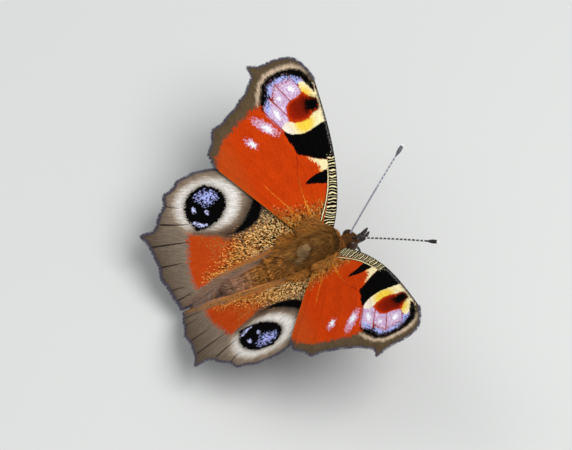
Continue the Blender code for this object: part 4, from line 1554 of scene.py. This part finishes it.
# Eyes, with fine facets
EYE_CENTRE = (1.1, -5.45, -0.85)
EYE_RADII = (0.95, 1.0, 1.15)
EYE_TONE = (0.045, 0.02, 0.01)
EYE_GRID = (36, 48)
FACETS_PER_METRE = 17000.0
FACET_RELIEF = 0.00002


def eye_material():
    shader = Shader("eye")
    place = shader.node("TexCoord", {})[3]
    shader.bump(shader.cells(place, "3D", FACETS_PER_METRE)[0] * -1.0, 0.5, FACET_RELIEF)
    return shader.finish(shader.tint(), 0.22, 0.22)


def eye_piece(side, material):
    """The outer half of an egg-shaped eye."""
    high = np.linspace(0.02, 1.0, EYE_GRID[0])[:, None]
    turn = full_turn(EYE_GRID[1])
    ring = np.sin(high * math.pi / 2)
    shape = (np.cos(high * math.pi / 2), ring * np.cos(turn), ring * np.sin(turn))
    x, y, z = (centre + radius * part for centre, radius, part in zip(EYE_CENTRE, EYE_RADII, shape))
    bake = grid(0.5 + 0.45 * high * np.cos(turn), 0.5 + 0.45 * high * np.sin(turn))
    surface = Surface(grid(side * x, y, z), {}, bake)
    surface.normal *= np.sign((surface.normal[..., 0] * side).mean())
    name = sided("eye", side)
    tube_piece(name + "_dome", "eye", material, [surface], [EYE_TONE], (name,))


facets = eye_material()
for side in SIDES:
    eye_piece(side, facets)

# Feelers, ringed dark and pale, with a pale tip on the club
FEELER_BASE = (0.7, -5.95, 0.5)
FEELER_REACH = {1: (9.35, -13.45, 7.0), -1: (9.45, -12.35, 4.8)}
FEELER_ARCH = (0.0, 0.0, 0.25)
FEELER_RADIUS = 0.155
CLUB_RADIUS = 0.37
CLUB_SHARE = 0.145
RING_LENGTH = 0.78
PALE_SHARE = {1: 0.45, -1: 0.36}
PLAIN_SHARE = {1: 0.5, -1: 0.12}
FEELER_PALE = {1: (0.5, 0.49, 0.54), -1: (0.72, 0.7, 0.67)}
FEELER_DARK = {1: (0.24, 0.23, 0.27), -1: (0.012, 0.01, 0.01)}
CLUB_TONE = {1: (0.1, 0.1, 0.115), -1: (0.012, 0.01, 0.01)}
CLUB_TIP = (0.92, 0.9, 0.84)
WHOLE_MAP = (0.01, 0.01, 0.98, 0.3)


def feeler_piece(side):
    reach = np.array(FEELER_REACH[side])
    share = np.linspace(-0.02, 1, 240)
    arch = np.sin(math.pi * np.maximum(share, 0))[:, None]
    line = FEELER_BASE + reach * share[:, None] + np.array(FEELER_ARCH) * arch
    into = grade(share - 1 + CLUB_SHARE, CLUB_SHARE)
    club = np.sin(math.pi * np.minimum(into * 0.9, 1.0)) ** 0.75
    ring = (share * np.linalg.norm(reach) / RING_LENGTH) % 1.0
    bead = 1 + 0.07 * np.cos(2 * math.pi * ring) * (into <= 0)
    radii = np.maximum(FEELER_RADIUS * bead * (1 - 0.5 * into), CLUB_RADIUS * club * 0.98)
    radii[-1] = 0.02
    surface = tube_surface(line * (side, 1.0, 1.0), radii, 14, WHOLE_MAP)
    pale = (ring < PALE_SHARE[side]) & (into <= 0.0) & (share > PLAIN_SHARE[side])
    tint = np.where(pale[:, None], FEELER_PALE[side], FEELER_DARK[side])
    tint = np.where((into > 0)[:, None], CLUB_TONE[side], tint)
    tint = mixed(tint, CLUB_TIP, grade(into - 0.83, 0.06))
    name = sided("antenna", side)
    tube_piece(name + "_rings", "feeler", dull_material, [surface], [tint[:, None]], (name,))


for side in SIDES:
    feeler_piece(side)

# Tongue
TONGUE_ROUTE = (
    (0.0, -6.05, -1.95), (0.0, -6.2, -2.6), (0.0, -6.55, -3.4), (0.0, -6.95, -4.5), (0.0, -7.1, -5.4),
    (0.0, -6.8, -6.1), (0.0, -6.3, -6.5), (0.0, -5.85, -7.25),
)
TONGUE_RADII = (0.24, 0.24, 0.22, 0.2, 0.18, 0.16, 0.13, 0.08)
TONGUE_TONE = (0.035, 0.02, 0.015)
line, radii = route_through(TONGUE_ROUTE, TONGUE_RADII, 14)
beads = 1 + 0.06 * np.cos(np.arange(len(line)) * 1.6)
tongue = tube_surface(line, radii * beads, 12, WHOLE_MAP)
tube_piece("proboscis_tube", "tongue", dull_material, [tongue], [TONGUE_TONE], ("proboscis",))

# Legs
FOOT_RADIUS = 0.17
FOOT_LEVEL = -HINGE_HEIGHT + FOOT_RADIUS
LEG_RADII = (0.3, 0.27, 0.2, 0.17, 0.15)
FORELEG_RADII = (0.24, 0.24, 0.2, 0.12)
LEG_ROUTES = {
    "midleg": (
        (1.0, 0.7, -2.6), (4.4, 0.1, -4.0), (7.2, -1.1, -8.3), (8.3, -1.6, FOOT_LEVEL),
        (11.0, -2.9, FOOT_LEVEL),
    ),
    "hindleg": (
        (1.0, 3.0, -2.7), (4.2, 5.4, -4.1), (6.2, 9.2, -8.3), (6.9, 10.5, FOOT_LEVEL),
        (8.2, 13.2, FOOT_LEVEL),
    ),
    "foreleg": ((0.85, -2.2, -3.0), (1.2, -3.3, -4.75), (1.1, -4.6, -4.2), (0.95, -5.6, -3.4)),
}
LEG_HAIR_COUNT = 900
LEG_TONES = ((0.2, 0.13, 0.07), (0.34, 0.24, 0.13))


def limb(route, radii, side, bake):
    """A leg from its joints, with a knob at each one, on or above the floor."""
    corners = np.array(route) * (side, 1.0, 1.0)
    bends, values = [corners[0]], [radii[0]]
    for n in range(1, len(corners) - 1):
        for step in (-1, 0, 1):
            bends.append(corners[n] + (corners[n + step] - corners[n]) * 0.16)
            values.append(radii[n] * (1.12 if step == 0 else 1.0))
    line, radii = route_through([*bends, corners[-1]], [*values, radii[-1] * 0.5], 8)
    line[:, 2] = np.maximum(line[:, 2], radii - HINGE_HEIGHT)
    return tube_surface(line, radii, 12, bake)


def limb_low(points):
    return grade(-5.0 - points[..., 2], 3.0)


def limb_tone(points, random):
    """Dark above, paler at the feet."""
    return mixed(mixed(UMBER, DUSK, random), mixed(*LEG_TONES, random), limb_low(points))


limbs, nodes = [], []
for kind, route in LEG_ROUTES.items():
    for side in SIDES:
        bake = (0.01, 0.01 + 0.16 * len(limbs), 0.98, 0.12)
        limbs.append(limb(route, FORELEG_RADII if kind == "foreleg" else LEG_RADII, side, bake))
        nodes.append(sided(kind, side))
tints = [limb_tone(each.points, np.full(each.points.shape[:2], 0.5)) for each in limbs]
tube_piece("legs", "leg", dull_material, limbs, tints, nodes)
leg_groups = []
for surface in limbs:
    count = amount(LEG_HAIR_COUNT)
    row, column = surface.scatter(count)
    at = surface.at(surface.points, row, column)
    low = limb_low(at)
    made = group(surface, row, column, spread(0.25, 0.5, count) * (1 - 0.5 * low), spread(0.03, 0.05, count),
                 0.6 - 0.3 * low, 0.3, turn=0.3, sink=0.02)
    made["tint"] = limb_tone(at, RANDOM.random(count))
    made["tip"] = made["tint"] * 1.4
    leg_groups.append(made)
tufts("leg_hair", "leg", hair_material, leg_groups)

# Palps
PALP_BASE = (0.5, -6.45, -1.5)
PALP_TIP = (0.42, -8.75, 0.2)
PALP_BULGE = (0.0, -0.35, -0.25)
PALP_RADIUS = 0.3
PALP_HAIR_COUNT = 1300
PALP_BLACK = (0.06, 0.05, 0.05)
PALP_PALE = (0.3, 0.28, 0.27)

palps = []
for side in SIDES:
    base, tip, bulge = np.array((PALP_BASE, PALP_TIP, PALP_BULGE)) * (side, 1.0, 1.0)
    route = [base, base + (tip - base) * 0.4 + bulge, base + (tip - base) * 0.75 + bulge * 0.6, tip]
    line, radii = route_through(route, PALP_RADIUS * np.array((0.8, 1.0, 0.75, 0.25)), 8)
    palps.append(tube_surface(line, radii, 12, (0.01, 0.05 + 0.3 * (side > 0), 0.6, 0.2)))
tube_piece("palps", "head_hair", skin_material, palps, [UMBER, UMBER], ("palp_left", "palp_right"))
palp_groups = []
for surface in palps:
    count = amount(PALP_HAIR_COUNT)
    row, column = surface.scatter(count)
    made = group(surface, row, column, spread(0.25, 0.45, count), spread(0.05, 0.08, count), 0.55, 0.3,
                 turn=0.3)
    pale = (RANDOM.random(count) < 0.25)[:, None]
    made["tint"] = mixed(UMBER, PALP_BLACK, RANDOM.random(count))
    made["tip"] = np.where(pale, PALP_PALE, made["tint"])
    palp_groups.append(made)
tufts("palp_hair", "head_hair", hair_material, palp_groups)

# Floor, light and camera
FLOOR_HALF = 3.0
FLOOR_TONE = (0.72, 0.72, 0.7)
LAMP_TARGET = (0.0, 0.0, 0.01)
SKY_TONE = (0.9, 0.95, 1.0, 1.0)
SKY_STRENGTH = 0.36
AZIMUTH, ELEVATION, ROLL = -105.9, 55.3, -4.9
DISTANCE = 700.0
PIXELS_PER_MM = 5.74
FRAME_WIDE = 572.0
SENSOR = 36.0
OFFSET = (-6.03, 3.78)


def camera():
    az, el, roll = map(math.radians, (AZIMUTH, ELEVATION, ROLL))
    back = np.array((math.sin(az) * math.cos(el), -math.cos(az) * math.cos(el), math.sin(el)))
    right = unit(np.cross((0.0, 0.0, 1.0), back))
    up = np.cross(back, right)
    c, s = math.cos(roll), math.sin(roll)
    right, up = c * right + s * up, -s * right + c * up
    data = bpy.data.cameras.new("camera")
    data.lens = PIXELS_PER_MM * DISTANCE / FRAME_WIDE * SENSOR
    data.sensor_width = SENSOR
    data.clip_start = 0.05
    data.clip_end = 20.0
    matrix = np.eye(4)
    matrix[:3] = np.stack([right, up, back, world(DISTANCE * back + OFFSET[0] * right + OFFSET[1] * up)], 1)
    made = linked("camera", data)
    made.matrix_world = Matrix(matrix.tolist())
    bpy.context.scene.camera = made


def lamp(name, place, size, power):
    data = bpy.data.lights.new(name, "AREA")
    data.shape = "DISK"
    data.size = size
    data.energy = power
    made = linked(name, data)
    made.location = place
    made.rotation_mode = "QUATERNION"
    made.rotation_quaternion = (Vector(LAMP_TARGET) - Vector(place)).to_track_quat("-Z", "Y")


def sky():
    made = bpy.data.worlds.new("world")
    made.use_nodes = True
    background = made.node_tree.nodes["Background"]
    background.inputs["Color"].default_value = SKY_TONE
    background.inputs["Strength"].default_value = SKY_STRENGTH
    bpy.context.scene.world = made


def floor():
    data = bpy.data.meshes.new("floor")
    corners = [(x * FLOOR_HALF, y * FLOOR_HALF, 0) for x, y in ((-1, -1), (1, -1), (1, 1), (-1, 1))]
    data.from_pydata(corners, [], [(0, 1, 2, 3)])
    data.materials.append(plain_material("floor", 0.9, 0.1, FLOOR_TONE))
    linked("floor", data)


floor()
camera()
lamp("key", (-0.3, -0.25, 0.62), 0.5, 4.4)
lamp("fill", (0.45, 0.35, 0.5), 0.6, 1.1)
sky()
bpy.context.scene.view_settings.view_transform = "Standard"
